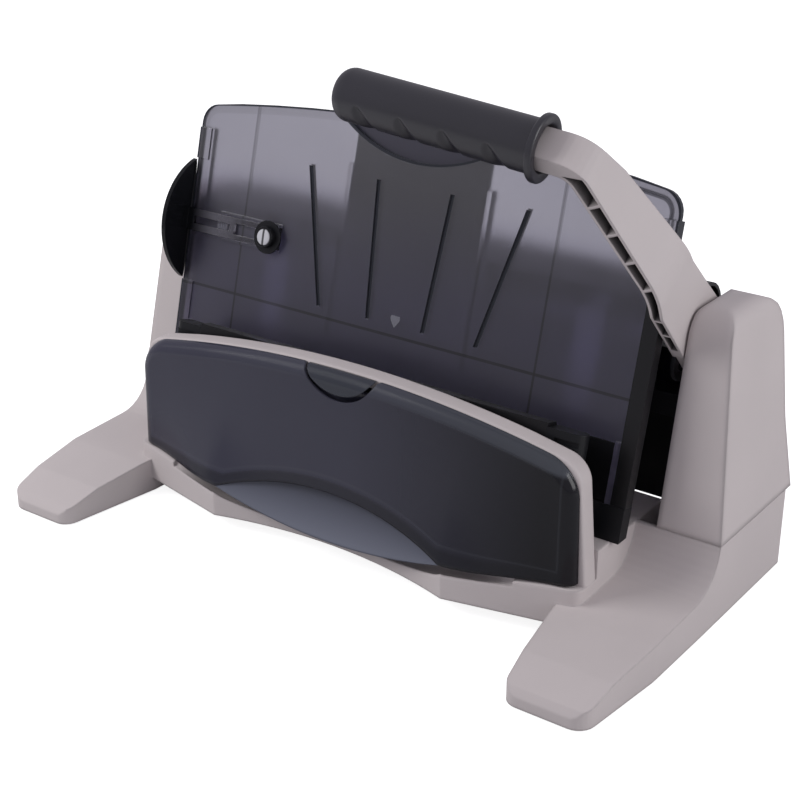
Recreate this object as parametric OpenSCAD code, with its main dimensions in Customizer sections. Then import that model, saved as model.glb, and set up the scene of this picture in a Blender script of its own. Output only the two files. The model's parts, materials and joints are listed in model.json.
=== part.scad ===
// Heavy duty hole punch: lever driven, three holes, paper stack fed against a leaning panel.
// Lengths are in millimetres. Depth is measured from the tips of the feet towards the rear.

/* [Base and feet] */
// Half width of the base across the towers
base_half_w = 208.5; // [206:0.5:214]
// Depth from the foot tips to the rear face
base_d = 218; // [216:1:226]
// Half width to the outer corner of a foot tip
tip_out_x = 202; // [198:0.5:204]
// Half width to the inner corner of a foot tip
tip_in_x = 155; // [150:0.5:160]
// Height of a foot at its tip
tip_h = 11; // [9:0.5:13]
// Height of a foot at the start of the sweep up to the tower
instep_h = 24; // [22:0.5:26]
// Radius of the sweep from foot to tower
sweep_r = 26; // [22:0.5:30]
// Height of the seam between the base and the tower covers
seam_z = 48; // [47:0.5:50]
// Moulded wall thickness
wall = 3; // [2.4:0.1:3.4]
// Height of the skirt's lower edge
skirt_z = 9.5; // [8:0.5:11]
// Rear edge of the deck
deck_rear_y = 160; // [156:1:166]
// Radius of a rubber foot
pad_r = 9; // [7:0.5:10]
// Height of a rubber foot
pad_h = 4; // [3:0.5:5]

/* [Towers] */
// Front of a tower at the seam
tower_front_y = 128.5; // [126:0.5:131]
// Height of the tower tops
tower_top_z = 168; // [167:0.5:172]
// Inner face of a tower at the seam
tower_in_x = 170.5; // [170:0.5:172]
// Set back of the tower front over its height
tower_set_back = 18.5; // [14:0.5:22]
// Set in of the outer face over its height
tower_set_in = 12.5; // [8:0.5:14]

/* [Front housing and door] */
// Half width of the front housing
rim_half_w = 158; // [155:0.5:162]
// Height of the housing's crown
rim_top_z = 113.5; // [111.5:0.5:115.5]
// Thickness of the housing arch
rim_t = 7; // [5:0.5:9]
// Front face of the housing
rim_front_y = 75; // [74:0.5:76]
// Depth of the housing
rim_d = 12; // [10:0.5:12.5]
// Half width of the door at its lower corners
door_half_w = 153; // [150:0.5:155]
// Front face of the door
door_y = 67.8; // [66:0.2:69]
// Height of the door's lower corners
door_corner_z = 33; // [32.5:0.5:35]
// Height of the door's crown
door_top_z = 110.5; // [108.5:0.5:111.5]
// Door wall
door_wall = 2.5; // [2:0.1:3]
// Front of the door's chin and of the skirt
chin_y = 52; // [50:0.5:54]
// Half width of the chin
chin_half_w = 82; // [78:0.5:86]
// Height of the chin's ends
chin_end_z = 28; // [26:0.5:30]
// Lowest point of the chin
chin_low_z = 17; // [15.5:0.5:18]
// Opening angle of the door
door_open = 75; // [60:1:80]
// Half width of the latch tab
latch_half_w = 24; // [20:0.5:28]
// Depth of the latch tab
latch_depth = 13; // [11:0.5:15]
// Travel of the latch tab
latch_travel = 3; // [2:0.5:3.5]

/* [Throat and panel] */
// Depth of the panel's front face at the reference height
panel_y = 117; // [116:0.5:119]
// Reference height on the panel
panel_z = 108; // [106:0.5:110]
// Lean of the panel and throat
panel_tilt = 14.8; // [13:0.1:16]
// Half width of the panel
panel_half_w = 163; // [160:0.5:163.4]
// Panel sheet thickness
panel_t = 3; // [2.5:0.1:3.4]
// Height of the panel's crown above the reference, along the panel
panel_crown = 136; // [130:0.5:140]
// Height of the panel's upper corners, along the panel
panel_corner = 124; // [118:0.5:128]
// Depth of the cut-out in the panel's top edge
notch_depth = 22; // [18:0.5:26]
// Half width of the cut-out
notch_half_w = 60; // [54:0.5:66]
// Gap that takes the paper
throat_gap = 13; // [11:0.5:14]
// Depth of the throat below the reference, along the panel
throat_depth = 43; // [41:0.5:46]
// Distance from the paper's edge to the hole centres
edge_margin = 12; // [10:0.5:13]
// Spacing of the punched holes
hole_pitch = 108; // [104:0.5:110]
// Diameter of the punched holes
hole_d = 7; // [6:0.1:8]
// Thickness of the die bar
die_t = 12; // [10:0.5:13]
// Half length of the die bar
die_half_w = 122; // [119:0.5:124]
// Length of a die end cap
cap_w = 21; // [18:0.5:23]
// Thickness of the punch guide bar
guide_t = 9; // [8:0.5:10]
// Travel of the sliding paper support
support_travel = 60; // [40:1:70]
// Half width of the sliding paper support
support_half_w = 46; // [42:0.5:50]

/* [Side guide] */
// Height of the side guide, along the panel
ear_h = 74; // [66:0.5:80]
// Reach of the side guide in front of the panel
ear_reach = 22; // [18:0.5:26]
// Height of the guide's centre, along the panel
ear_s = 53; // [50:0.5:56]
// Inward travel of the side guide
ear_travel = 24; // [18:0.5:25]
// Place of the lock knob across the panel
knob_x = -98; // [-100:0.5:-96]
// Diameter of the lock knob
knob_d = 11; // [10:0.5:14]

/* [Lever] */
// Depth of the lever shaft
shaft_y = 178; // [176:0.5:180]
// Height of the lever shaft
shaft_z = 138; // [137:0.5:140]
// Diameter of the lever shaft
shaft_d = 14; // [12:0.5:15]
// Forward lean of the lever at rest
lever_rest = 37.5; // [34:0.5:40]
// Pull of the lever
lever_pull = 60; // [50:1:62]
// Reach of the lever from the shaft to the arm's end
lever_reach = 151; // [144:0.5:156]
// Thickness of the lever arm beside the panel
arm_t = 7; // [6:0.5:7]
// Thickness of the lever arm at the grip
arm_end_t = 10.5; // [9.5:0.5:12]
// Half breadth of the arm at the shaft
arm_root_half = 22; // [20:0.5:24]
// Half breadth of the arm at the grip
arm_end_half = 9; // [8:0.5:10]
// Diameter of the grip
grip_d = 28; // [26:0.5:31]
// Place of the grip's collar across the panel
grip_base_x = 116; // [110:0.5:120]
// Length of the grip
grip_l = 117; // [110:1:124]
// Slope of the grip against the shaft
grip_slope = 8.7; // [7:0.1:10]

/* [Ram drive] */
// Stroke of the ram
ram_stroke = 15.5; // [14:0.1:15.8]
// Radius of the cam follower noses
nose_r = 6; // [5:0.1:6.5]
// Distance of each cam from the middle
cam_x = 110; // [100:0.5:114]
// Thickness of a cam
cam_t = 12; // [10:0.5:14]
// Diameter of a guide rod
rod_d = 8; // [7:0.1:9]
// Distance of each guide rod from the middle
rod_x = 54; // [48:0.5:60]
// Wire diameter of a return spring
wire_d = 1.4; // [1.2:0.1:1.6]
// Turns of a return spring
spring_turns = 7; // [5:1:9]

/* [Clearances] */
// Clearance of a running shaft or pin, on the radius
run_gap = 0.05; // [0.03:0.01:0.08]
// Clearance of a seated round piece, on the radius
seat_gap = 0.02; // [0.01:0.01:0.04]
// Clearance of sliding mouldings
slide_gap = 0.4; // [0.3:0.05:0.6]
// Clearance of cam and follower
cam_gap = 0.3; // [0.2:0.05:0.4]

/* [Hidden] */
$fn = 64;

putty = [0.76, 0.73, 0.72];
smoke = [0.22, 0.22, 0.26];
black = [0.09, 0.09, 0.10];
steel = [0.62, 0.63, 0.65];
brass = [0.78, 0.62, 0.28];
soft_black = [0.20, 0.20, 0.23];
white = [0.90, 0.90, 0.88];

corner_n = 6;
over = 1;
base_z0 = 1;

// Shelf under the door, and the step from it up to the deck
shelf_z = door_corner_z - 1.5;
shelf_front_z = chin_end_z - 1.5;
deck_front_y = rim_front_y + rim_d;
deck_t = 4;

// Door hinge axis
hinge_y = chin_y + 9;
hinge_z = chin_end_z + 2;
hinge_eye_r = 3.4;
hinge_pin_r = 1.6;
hinge_x = chin_half_w - 10;
hinge_arm_w = 6;

// Circle through the chin's ends and its lowest point
chin_sag = chin_end_z - chin_low_z;
chin_r = (chin_half_w * chin_half_w + chin_sag * chin_sag) / (2 * chin_sag);
function chin_z(x) = chin_low_z + chin_r - sqrt(chin_r * chin_r - x * x);

// Shaft place in the throat's leaning frame: across the panel and along it
shaft_v = (shaft_y - panel_y) * cos(panel_tilt) - (shaft_z - panel_z) * sin(panel_tilt);
shaft_s = (shaft_y - panel_y) * sin(panel_tilt) + (shaft_z - panel_z) * cos(panel_tilt);

// Ram places in the leaning frame, at rest
ram_arm_t = 8;
ram_arm_v = 26;
nose_v = ram_arm_v + ram_arm_t;
ram_bar_v = 44;
ram_bar_t = 10;
ram_low_s = -throat_depth + 1;
ram_bar_h = 22;
pin_s = edge_margin - throat_depth;
pin_r = hole_d / 2;
bar_top_s = -4;
panel_foot_s = -10;
follow_r = shaft_v - nose_v;
cam_rate = ram_stroke / lever_pull;

// Frame plates stand inside the towers
frame_x = tower_in_x + 6.5;
frame_t = 4;
frame_foot_z = 22;
ledge_front = 30;
frame_front = 26;
frame_rear = 28;
frame_neck = 20;
bush_r = shaft_d / 2 + 3;
shaft_end = frame_x + frame_t + 5;
hub_x = panel_half_w + 1.2;
hub_t = 2.2;

function unit(v) = v / norm(v);
// Arc that rounds the corner p1 between p0 and p2
function corner(p0, p1, p2, r) =
    let (u = unit(p0 - p1), w = unit(p2 - p1), half = acos(u * w) / 2,
        c = p1 + unit(u + w) * r / sin(half),
        s = p1 + u * r / tan(half) - c, e = p1 + w * r / tan(half) - c,
        a0 = atan2(s[1], s[0]), turn = (atan2(e[1], e[0]) - a0 + 540) % 360 - 180)
    [for (i = [0:corner_n]) c + r * [cos(a0 + turn * i / corner_n), sin(a0 + turn * i / corner_n)]];
// Outline with each corner rounded to its own radius; each entry is [x, y, radius]
function rounded(pts) =
    [for (i = [0:len(pts) - 1])
        let (m = len(pts), a = pts[(i + m - 1) % m], b = pts[i], c = pts[(i + 1) % m])
        each b[2] > 0 ? corner([a[0], a[1]], [b[0], b[1]], [c[0], c[1]], b[2]) : [[b[0], b[1]]]];
function bezier(p, t) = pow(1 - t, 3) * p[0] + 3 * t * pow(1 - t, 2) * p[1]
    + 3 * t * t * (1 - t) * p[2] + pow(t, 3) * p[3];

// Moves the drawing, made from the foot tips, to the middle of the depth
module place() {
    translate([0, -base_d / 2, 0])
        children();
}
// Leaning frame of panel and throat: x across, y through the panel to the rear, z along the panel
module throat() {
    place()
        translate([0, panel_y, panel_z])
            rotate([-panel_tilt, 0, 0])
                children();
}
// Frame of the lever at rest: z along the lever, y across it to the rear
module lever() {
    place()
        translate([0, shaft_y, shaft_z])
            rotate([lever_rest, 0, 0])
                children();
}
// Outline in y and z drawn along x
module along_x(x0, x1) {
    translate([x0, 0, 0])
        rotate([90, 0, 90])
            linear_extrude(x1 - x0)
                children();
}
// Outline in x and z drawn along y
module along_y(y0, y1) {
    translate([0, y1, 0])
        rotate([90, 0, 0])
            linear_extrude(y1 - y0)
                children();
}
module box(low, high) {
    translate(low)
        cube(high - low);
}
module rod_x_axis(x0, x1, r) {
    translate([x0, 0, 0])
        rotate([0, 90, 0])
            cylinder(h = x1 - x0, r = r);
}
module rod_y_axis(y0, y1, r) {
    translate([0, y0, 0])
        rotate([-90, 0, 0])
            cylinder(h = y1 - y0, r = r);
}
module both_sides() {
    children();
    mirror([1, 0, 0])
        children();
}

// Inner edge of a foot below the front housing
foot_in_x = rim_half_w - 12;
// Base: plan of the right foot and tower, set in by e
function foot_plan(e) = rounded([
    [tip_in_x + e, e, 9], [tip_out_x - e, e, 10], [tip_out_x + 6 - e, 60, 40], [base_half_w - e, 115, 0],
    [base_half_w - e, base_d - e, 8], [tower_in_x - 4.5 + e, base_d - e, 4],
    [tower_in_x - 4.5 + e, deck_rear_y, 0], [foot_in_x + e, deck_rear_y, 0], [foot_in_x + e, 68, 0]]);
// Side view of a foot with its sweep up to the tower, lowered and set in by e
function foot_side(e, top) = concat(
    [[e, 0], [e, tip_h - 4 - e], [e + 3, tip_h - e], [25, (tip_h + instep_h) / 2 - e],
        [60, instep_h - 2 - e]],
    [for (i = [0:8]) let (a = -90 + 90 * i / 8)
        [tower_front_y - sweep_r + sweep_r * cos(a) + e * (i / 8),
            instep_h + sweep_r + sweep_r * sin(a) - e * (1 - i / 8)]],
    [[tower_front_y + e, top], [base_d, top], [base_d, 0]]);
// Plan of the middle of the base, from the skirt to the deck's rear edge
middle_plan = rounded([
    [chin_half_w, chin_y, 0], [rim_half_w, door_y + 1, 7], [rim_half_w, deck_rear_y, 0],
    [-rim_half_w, deck_rear_y, 0], [-rim_half_w, door_y + 1, 7], [-chin_half_w, chin_y, 0]]);
// Finger recess in the skirt below the chin
recess_d = 12;
recess_r = (chin_half_w * chin_half_w + recess_d * recess_d) / (2 * recess_d);
// Room that the door's lower edge sweeps as it turns about the hinge
function lip_front(x) = x <= chin_half_w ? chin_y
    : chin_y + (door_y - chin_y) * (x - chin_half_w) / (door_half_w - chin_half_w);
function lip_low(x) = x <= chin_half_w ? chin_z(x)
    : chin_end_z + (door_corner_z - chin_end_z) * (x - chin_half_w) / (door_half_w - chin_half_w);
function lip_radius(x) = norm([lip_front(x) - hinge_y, lip_low(x) - hinge_z]) + 0.8
    + 2 * max(0, x / chin_half_w - 0.75);
lip_reach = chin_half_w + 40;
module lip_room() {
    steps = 16;
    translate([0, hinge_y, hinge_z])
        rotate([0, 90, 0])
            rotate_extrude()
                polygon(concat([[0, -lip_reach]],
                    [for (i = [-steps:steps]) let (x = lip_reach * i / steps) [lip_radius(abs(x)), x]],
                    [[0, lip_reach]]));
}
pad_places = [[178, 24], [190, base_d - 13]];
pad_seat_h = pad_h - base_z0;
module base_shell() {
    both_sides()
        difference() {
            intersection() {
                translate([0, 0, base_z0])
                    linear_extrude(seam_z - base_z0)
                        polygon(foot_plan(0));
                along_x(0, base_half_w + over)
                    polygon(foot_side(0, seam_z));
            }
            difference() {
                intersection() {
                    linear_extrude(seam_z + over)
                        polygon(foot_plan(wall));
                    along_x(0, base_half_w + over)
                        polygon(foot_side(wall, seam_z + over));
                }
                // Bosses that seat the rubber feet
                for (p = pad_places)
                    translate([p[0], p[1], 0])
                        cylinder(h = frame_foot_z, r = pad_r + 2);
            }
        }
    difference() {
        intersection() {
            translate([0, 0, skirt_z])
                linear_extrude(seam_z - skirt_z)
                    polygon(middle_plan);
            along_x(-rim_half_w, rim_half_w)
                polygon([[chin_y, 0], [chin_y, shelf_front_z], [door_y, shelf_z], [deck_front_y, shelf_z],
                    [deck_front_y, seam_z], [deck_rear_y, seam_z], [deck_rear_y, 0]]);
        }
        lip_room();
        translate([0, chin_y - recess_r + recess_d, 0])
            cylinder(h = seam_z, r = recess_r);
        box([-rim_half_w + wall, deck_front_y + wall, 0],
            [rim_half_w - wall, deck_rear_y - wall, seam_z - deck_t]);
    }
}
module base() {
    color(putty)
        place()
            difference() {
                union() {
                    base_shell();
                    both_sides() {
                        // Ledge that carries the side frame
                        box([tower_in_x - 2, shaft_y - ledge_front, frame_foot_z - 8],
                            [frame_x + frame_t + 6, base_d - 2, frame_foot_z]);
                        // Arm that holds the door's hinge pin
                        translate([0, hinge_y, hinge_z])
                            rod_x_axis(hinge_x, hinge_x + hinge_arm_w, hinge_eye_r);
                        box([hinge_x, hinge_y, hinge_z - 3],
                            [hinge_x + hinge_arm_w, rim_front_y + 4, hinge_z + 2.6]);
                    }
                }
                both_sides() {
                    for (p = pad_places)
                        translate([p[0], p[1], 0])
                            cylinder(h = pad_h, r = pad_r + seat_gap);
                    translate([0, hinge_y, hinge_z])
                        rod_x_axis(hinge_x - over, hinge_x + hinge_arm_w + over, hinge_pin_r + seat_gap);
                }
            }
}
module rubber_feet() {
    color(black)
        place()
            both_sides()
                for (p = pad_places)
                    translate([p[0], p[1], 0])
                        cylinder(h = pad_h, r = pad_r);
}

// Tower cover: side view and front view, set in by e
function tower_side(e) = rounded([
    [tower_front_y + e, seam_z - (e > 0 ? over : 0), 0],
    [tower_front_y + tower_set_back + e, tower_top_z - e, 16 - e / 2],
    [base_d - 9 - e, tower_top_z - e, 26 - e / 2], [base_d - 7 - e, 92, 60],
    [base_d - e, seam_z - (e > 0 ? over : 0), 0]]);
function tower_face(e) = rounded([
    [tower_in_x + e, seam_z - (e > 0 ? over : 0), 0], [base_half_w - e, seam_z - (e > 0 ? over : 0), 0],
    [base_half_w - tower_set_in - e, tower_top_z - e, 10 - e],
        [tower_in_x + 2.5 + e, tower_top_z - e, 3.5 - e]]);
module tower_solid(e) {
    intersection() {
        along_x(0, base_half_w + over)
            polygon(tower_side(e));
        along_y(0, base_d + over)
            polygon(tower_face(e));
    }
}
// Beam that ties the frames, placed from the shaft
beam_h = 14;
beam_y = [shaft_y + 12, shaft_y + 12 + beam_h];
beam_z = [shaft_z - 40 - beam_h, shaft_z - 40];
module tower_cover() {
    place()
        difference() {
            tower_solid(0);
            tower_solid(wall);
            translate([0, shaft_y, shaft_z])
                rod_x_axis(tower_in_x - 2, frame_x, bush_r + 2);
            box([tower_in_x - 2, beam_y[0] - slide_gap, beam_z[0] - slide_gap],
                [frame_x, beam_y[1] + slide_gap, beam_z[1] + slide_gap]);
        }
}
module right_tower_cover() {
    color(putty)
        tower_cover();
}
module left_tower_cover() {
    color(putty)
        mirror([1, 0, 0])
            tower_cover();
}
module side_frame() {
    place()
        difference() {
            along_x(frame_x, frame_x + frame_t)
                polygon(rounded([[shaft_y - frame_front, frame_foot_z, 0],
                    [shaft_y + frame_rear, frame_foot_z, 0],
                    [shaft_y + frame_rear, shaft_z - frame_neck, 8],
                    [shaft_y + bush_r + 4, shaft_z + bush_r + 5, 6],
                        [shaft_y - bush_r - 4, shaft_z + bush_r + 5, 6],
                    [shaft_y - frame_front + 4, shaft_z - frame_neck, 8]]));
            translate([0, shaft_y, shaft_z])
                rod_x_axis(frame_x - over, frame_x + frame_t + over, bush_r + seat_gap);
        }
}
module right_side_frame() {
    color(steel)
        side_frame();
}
module left_side_frame() {
    color(steel)
        mirror([1, 0, 0])
            side_frame();
}
bush_x = [frame_x - 1, frame_x + frame_t + 1];
module shaft_bushes() {
    color(brass)
        both_sides()
            place()
                translate([0, shaft_y, shaft_z])
                    difference() {
                        rod_x_axis(bush_x[0], bush_x[1], bush_r);
                        rod_x_axis(bush_x[0] - over, bush_x[1] + over, shaft_d / 2 + run_gap);
                    }
}

// Front housing: an arch that stands on the shelf; its outline set in by e
function arch_z(x, top, half, drop) = top - drop * (x / half) * (x / half);
// Crown that stays flat in the middle and falls at the shoulders
function crown_z(x, top, half, drop) = top - drop * pow(x / half, 4);
crown_n = 8;
rim_drop = 12.5;
rim_lean = 6;
rim_shoulder_w = 40;
rim_round = 16;
function rim_crown(x) = crown_z(x, rim_top_z, rim_half_w - rim_lean, rim_drop);
function rim_shoulder(e, low) = corner([rim_half_w - e, low],
    [rim_half_w - rim_lean - e, rim_crown(rim_half_w - rim_lean) - e],
    [rim_half_w - rim_shoulder_w, rim_crown(rim_half_w - rim_shoulder_w) - e], rim_round - e);
function rim_outline(e, low) = concat(
    [[rim_half_w - e, low]],
    rim_shoulder(e, low),
    [for (i = [-crown_n:crown_n]) let (x = -(rim_half_w - rim_shoulder_w) * i / crown_n) [x,
        rim_crown(x) - e]],
    [for (i = [corner_n:-1:0]) let (p = rim_shoulder(e, low)[i]) [-p[0], p[1]]],
    [[-rim_half_w + e, low]]);
module front_housing() {
    color(putty)
        place()
            difference() {
                along_y(rim_front_y, rim_front_y + rim_d)
                    polygon(rim_outline(0, shelf_z));
                along_y(rim_front_y - over, rim_front_y + rim_d + over)
                    polygon(rim_outline(rim_t, shelf_z - over));
            }
}

// Front door: outline in front view set in by e, with the chin's arc below
function door_side_x(z) = door_half_w - 4 * (z - door_corner_z) / 60;
door_drop = 11;
door_shoulder_w = 36;
function door_crown(x) = crown_z(x, door_top_z, door_half_w - 5, door_drop);
function door_shoulder(e) = corner([door_half_w - e, door_corner_z],
    [door_side_x(door_crown(door_half_w - 5)) - e, door_crown(door_half_w - 5) - e],
    [door_half_w - door_shoulder_w, door_crown(door_half_w - door_shoulder_w) - e], 13 - e);
function door_outline(e, open) = concat(
    [[door_half_w - e, door_corner_z - open]],
    door_shoulder(e),
    [for (i = [-crown_n:crown_n]) let (x = -(door_half_w - door_shoulder_w) * i / crown_n)
        [x, door_crown(x) - e]],
    [for (i = [corner_n:-1:0]) let (p = door_shoulder(e)[i]) [-p[0], p[1]]],
    [[-door_half_w + e, door_corner_z - open]],
    [for (i = [-6:6]) let (x = chin_half_w * i / 6) [x, chin_z(x) - open]]);
// Side view of the door's front face, flat above and swept forward to the chin below
function door_profile(e) = concat(
    [[rim_front_y + (e > 0 ? over : -0.3), 130], [door_y + e, 130]],
    [for (i = [0:6]) let (p = bezier([[door_y, 58], [door_y, 46], [chin_y + 7, 37],
        [chin_y, chin_end_z + 1]], i / 6))
        [p[0] + e, p[1]]],
    [[chin_y + e, 0], [rim_front_y + (e > 0 ? over : -0.3), 0]]);
function door_plan(e) = [[door_half_w + over, rim_front_y + over], [door_half_w + over, door_y + e],
    [chin_half_w, chin_y + e], [-chin_half_w, chin_y + e], [-door_half_w - over, door_y + e],
    [-door_half_w - over, rim_front_y + over]];
module door_solid(e, open) {
    intersection() {
        along_y(chin_y - over, rim_front_y + 2 * over)
            polygon(door_outline(e, open));
        along_x(-door_half_w, door_half_w)
            polygon(door_profile(e));
        linear_extrude(130)
            polygon(door_plan(e));
    }
}
// Lens shaped scoop in the chin: a barrel laid across it that thins towards both ends
scoop_y = chin_y - 22.6;
scoop_z = chin_low_z + 21;
scoop_r = 32;
scoop_thin = 7.5;
function scoop_radius(x) = scoop_r - scoop_thin * pow(x / hinge_x, 2);
module barrel(e) {
    steps = 8;
    half = chin_half_w + 2;
    translate([0, scoop_y, scoop_z])
        rotate([0, 90, 0])
            rotate_extrude()
                polygon(concat([[0, -half]],
                    [for (i = [-steps:steps]) let (x = half * i / steps) [scoop_radius(x) + e, x]],
                    [[0, half]]));
}
latch_gap = latch_travel + 0.6;
latch_r = (latch_half_w * latch_half_w + latch_depth * latch_depth) / (2 * latch_depth);
latch_z = door_top_z - latch_depth + latch_r;
latch_stem_half = 8;
latch_back_y = door_y + door_wall;
module front_door() {
    color(smoke)
        place()
            difference() {
                union() {
                    difference() {
                        door_solid(0, 0);
                        door_solid(door_wall, 30);
                        barrel(0);
                    }
                    // Wall behind the scoop
                    intersection() {
                        door_solid(0, 0);
                        difference() {
                            barrel(door_wall);
                            barrel(0);
                        }
                    }
                    both_sides() {
                        // Hinge knuckle and its web
                        translate([0, hinge_y, hinge_z])
                            rod_x_axis(hinge_x - 8.4, hinge_x - slide_gap, hinge_eye_r);
                        box([hinge_x - 8.4, hinge_y - 5.4, hinge_z - 2],
                            [hinge_x - slide_gap, hinge_y, hinge_z + 2]);
                        // Runner of the latch stem
                        box([latch_stem_half + slide_gap, latch_back_y - 0.2, door_top_z - 31],
                            [latch_stem_half + slide_gap + 2, latch_back_y + 2.9, door_top_z - 19]);
                    }
                }
                both_sides()
                    translate([0, hinge_y, hinge_z])
                        rod_x_axis(hinge_x - 10, hinge_x + over, hinge_pin_r + run_gap);
                // Room for the latch tab
                translate([0, rim_front_y + over, latch_z])
                    rotate([90, 0, 0])
                        cylinder(h = 12, r = latch_r + latch_gap);
            }
}
module door_latch() {
    color(smoke)
        place() {
            intersection() {
                translate([0, latch_back_y + 0.3, latch_z])
                    rotate([90, 0, 0])
                        cylinder(h = door_wall + 0.3, r = latch_r);
                along_y(door_y - over, rim_front_y)
                    polygon(concat([[latch_half_w, 60]], [for (i = [-4:4]) let (x = -latch_half_w * i / 4)
                        [x, door_crown(x) - 0.2]], [[-latch_half_w, 60]]));
            }
            box([-latch_stem_half, latch_back_y + 0.2, door_top_z - 27],
                [latch_stem_half, latch_back_y + 2.5, door_top_z - 4]);
        }
}
pan_half_w = rim_half_w - 40;
pan_y = [latch_back_y, deck_front_y - 1.5];
pan_z = [shelf_z + 5, shelf_z + 32.5];
module chip_pan() {
    color(black)
        place()
            difference() {
                along_x(-pan_half_w, pan_half_w)
                    polygon([[pan_y[0], pan_z[1]], [pan_y[0], pan_z[0]], [pan_y[1] - 4, pan_z[0]],
                        [pan_y[1], pan_z[0] + 4],
                        [pan_y[1], pan_z[1] - 14], [pan_y[1] - 1.5, pan_z[1] - 14],
                            [pan_y[1] - 1.5, pan_z[1] - 4],
                        [pan_y[0] + 1.5, pan_z[1]]]);
                along_x(-pan_half_w + 1.5, pan_half_w - 1.5)
                    polygon([[pan_y[0] + 1.5, pan_z[1] + over], [pan_y[0] + 1.5, pan_z[0] + 1.5],
                        [pan_y[1] - 4.6, pan_z[0] + 1.5], [pan_y[1] - 1.5, pan_z[0] + 4.6],
                            [pan_y[1] - 1.5, pan_z[1] + over]]);
            }
}
module door_hinge_pins() {
    color(steel)
        both_sides()
            place()
                translate([0, hinge_y, hinge_z])
                    rod_x_axis(hinge_x - 8, hinge_x + hinge_arm_w - 0.5, hinge_pin_r);
}

// Throat pieces
pin_places = [-hole_pitch, 0, hole_pitch];
bush_outer_r = pin_r + 3;
module die_bar() {
    color(black)
        throat()
            difference() {
                box([-die_half_w, -throat_gap - die_t, -throat_depth - 2],
                    [die_half_w, -throat_gap, bar_top_s]);
                for (x = pin_places)
                    translate([x, 0, pin_s])
                        rod_y_axis(-throat_gap - die_t - over, -throat_gap + over,
                            bush_outer_r + seat_gap);
                // Lead in for the paper
                along_x(-die_half_w - over, die_half_w + over)
                    polygon([[-throat_gap - 4, bar_top_s + over], [-throat_gap + over, bar_top_s + over],
                        [-throat_gap + over, bar_top_s - 6]]);
            }
}
module die_bushes() {
    color(brass)
        throat()
            for (x = pin_places)
                translate([x, 0, pin_s])
                    difference() {
                        rod_y_axis(-throat_gap - die_t, -throat_gap, bush_outer_r);
                        rod_y_axis(-throat_gap - die_t - over, -throat_gap + over, pin_r + 2 * run_gap);
                    }
}
cap_ribs = 5;
cap_round = min(6, cap_w / 3);
module die_end_caps() {
    color(black)
        both_sides()
            throat()
                difference() {
                    translate([0, 0, -throat_depth - 2])
                        linear_extrude(throat_depth + bar_top_s)
                            polygon(rounded([[die_half_w, -throat_gap - die_t, 0],
                                [die_half_w + cap_w, -throat_gap - die_t, cap_round],
                                [die_half_w + cap_w, -throat_gap, cap_round - 1],
                                    [die_half_w, -throat_gap, 0]]));
                    // Grooves between the ribs of the cap's front and end
                    for (i = [1:cap_ribs])
                        let (s = -throat_depth + 2 + (throat_depth - 10) * i / (cap_ribs + 1))
                        box([die_half_w + 5, -throat_gap - die_t - over, s],
                            [die_half_w + cap_w + over, -throat_gap - die_t + 1.6, s + 3]);
                }
}
guide_half_w = panel_half_w - 13;
module punch_guide() {
    color(black)
        throat()
            difference() {
                box([-guide_half_w, 0, -throat_depth], [guide_half_w, guide_t, panel_foot_s - 0.2]);
                for (x = pin_places)
                    translate([x, 0, pin_s])
                        rod_y_axis(-over, guide_t + over, pin_r + run_gap);
                for (x = [-rod_x, rod_x])
                    translate([x, 0, pin_s])
                        rod_y_axis(2, guide_t + over, rod_d / 2 + seat_gap);
            }
}
stop_t = 4;
stop_half_w = die_half_w + cap_w;
module paper_stop() {
    color(steel)
        throat()
            difference() {
                box([-stop_half_w, -throat_gap - die_t, -throat_depth - 2 - stop_t],
                    [stop_half_w, guide_t, -throat_depth]);
                box([-stop_half_w - over, -throat_gap - die_t - over, -throat_depth - 2],
                    [stop_half_w + over, -throat_gap, -throat_depth + over]);
            }
}
rail_w = 9;
module throat_brackets() {
    color(black)
        both_sides()
            intersection() {
                throat() {
                    box([stop_half_w - 19, -throat_gap - 8, -throat_depth - 60],
                        [stop_half_w, guide_t - 2, -throat_depth - 2 - stop_t]);
                    box([stop_half_w, -1.5, -throat_depth - 60],
                        [panel_half_w, guide_t - 2, -throat_depth]);
                }
                place()
                    box([0, deck_front_y, seam_z], [panel_half_w + over, deck_rear_y, panel_z]);
            }
}
rod_v = [2, ram_bar_v + ram_bar_t + 18];
module guide_rods() {
    color(steel)
        throat()
            for (x = [-rod_x, rod_x])
                translate([x, 0, pin_s])
                    rod_y_axis(rod_v[0], rod_v[1], rod_d / 2);
}

// Backrest panel
notch_r = (notch_half_w * notch_half_w + notch_depth * notch_depth) / (2 * notch_depth);
support_v = panel_t + slide_gap;
support_t = 3;
groove_s = [20, 100];
tongue_s = [ear_s - 6.5, ear_s + 7];
stem_r = 3;
stem_s = ear_s + 0.2;
rail_top_s = panel_crown - notch_depth - 8;
module panel_outline() {
    difference() {
        polygon(concat([[-panel_half_w, panel_foot_s], [panel_half_w, panel_foot_s]],
            corner([panel_half_w, 0], [panel_half_w, panel_corner],
                [panel_half_w - 50, panel_corner + 5], 12),
            [for (i = [-5:5]) let (x = -(panel_half_w - 30) * i / 5)
                [x, arch_z(x, panel_crown, panel_half_w, panel_crown - panel_corner)]],
            [for (i = [corner_n:-1:0]) let (p = corner([panel_half_w, 0], [panel_half_w, panel_corner],
                [panel_half_w - 50, panel_corner + 5], 12)[i]) [-p[0], p[1]]]));
        translate([0, panel_crown - notch_depth + notch_r])
            circle(r = notch_r, $fn = 96);
    }
}
module panel_groove(x0, x1) {
    lean = atan2(x1 - x0, groove_s[1] - groove_s[0]);
    translate([x0, 0, groove_s[0]])
        rotate([0, lean, 0])
            box([-1.2, -over, 0], [1.2, 0.8, (groove_s[1] - groove_s[0]) / cos(lean)]);
}
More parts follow.
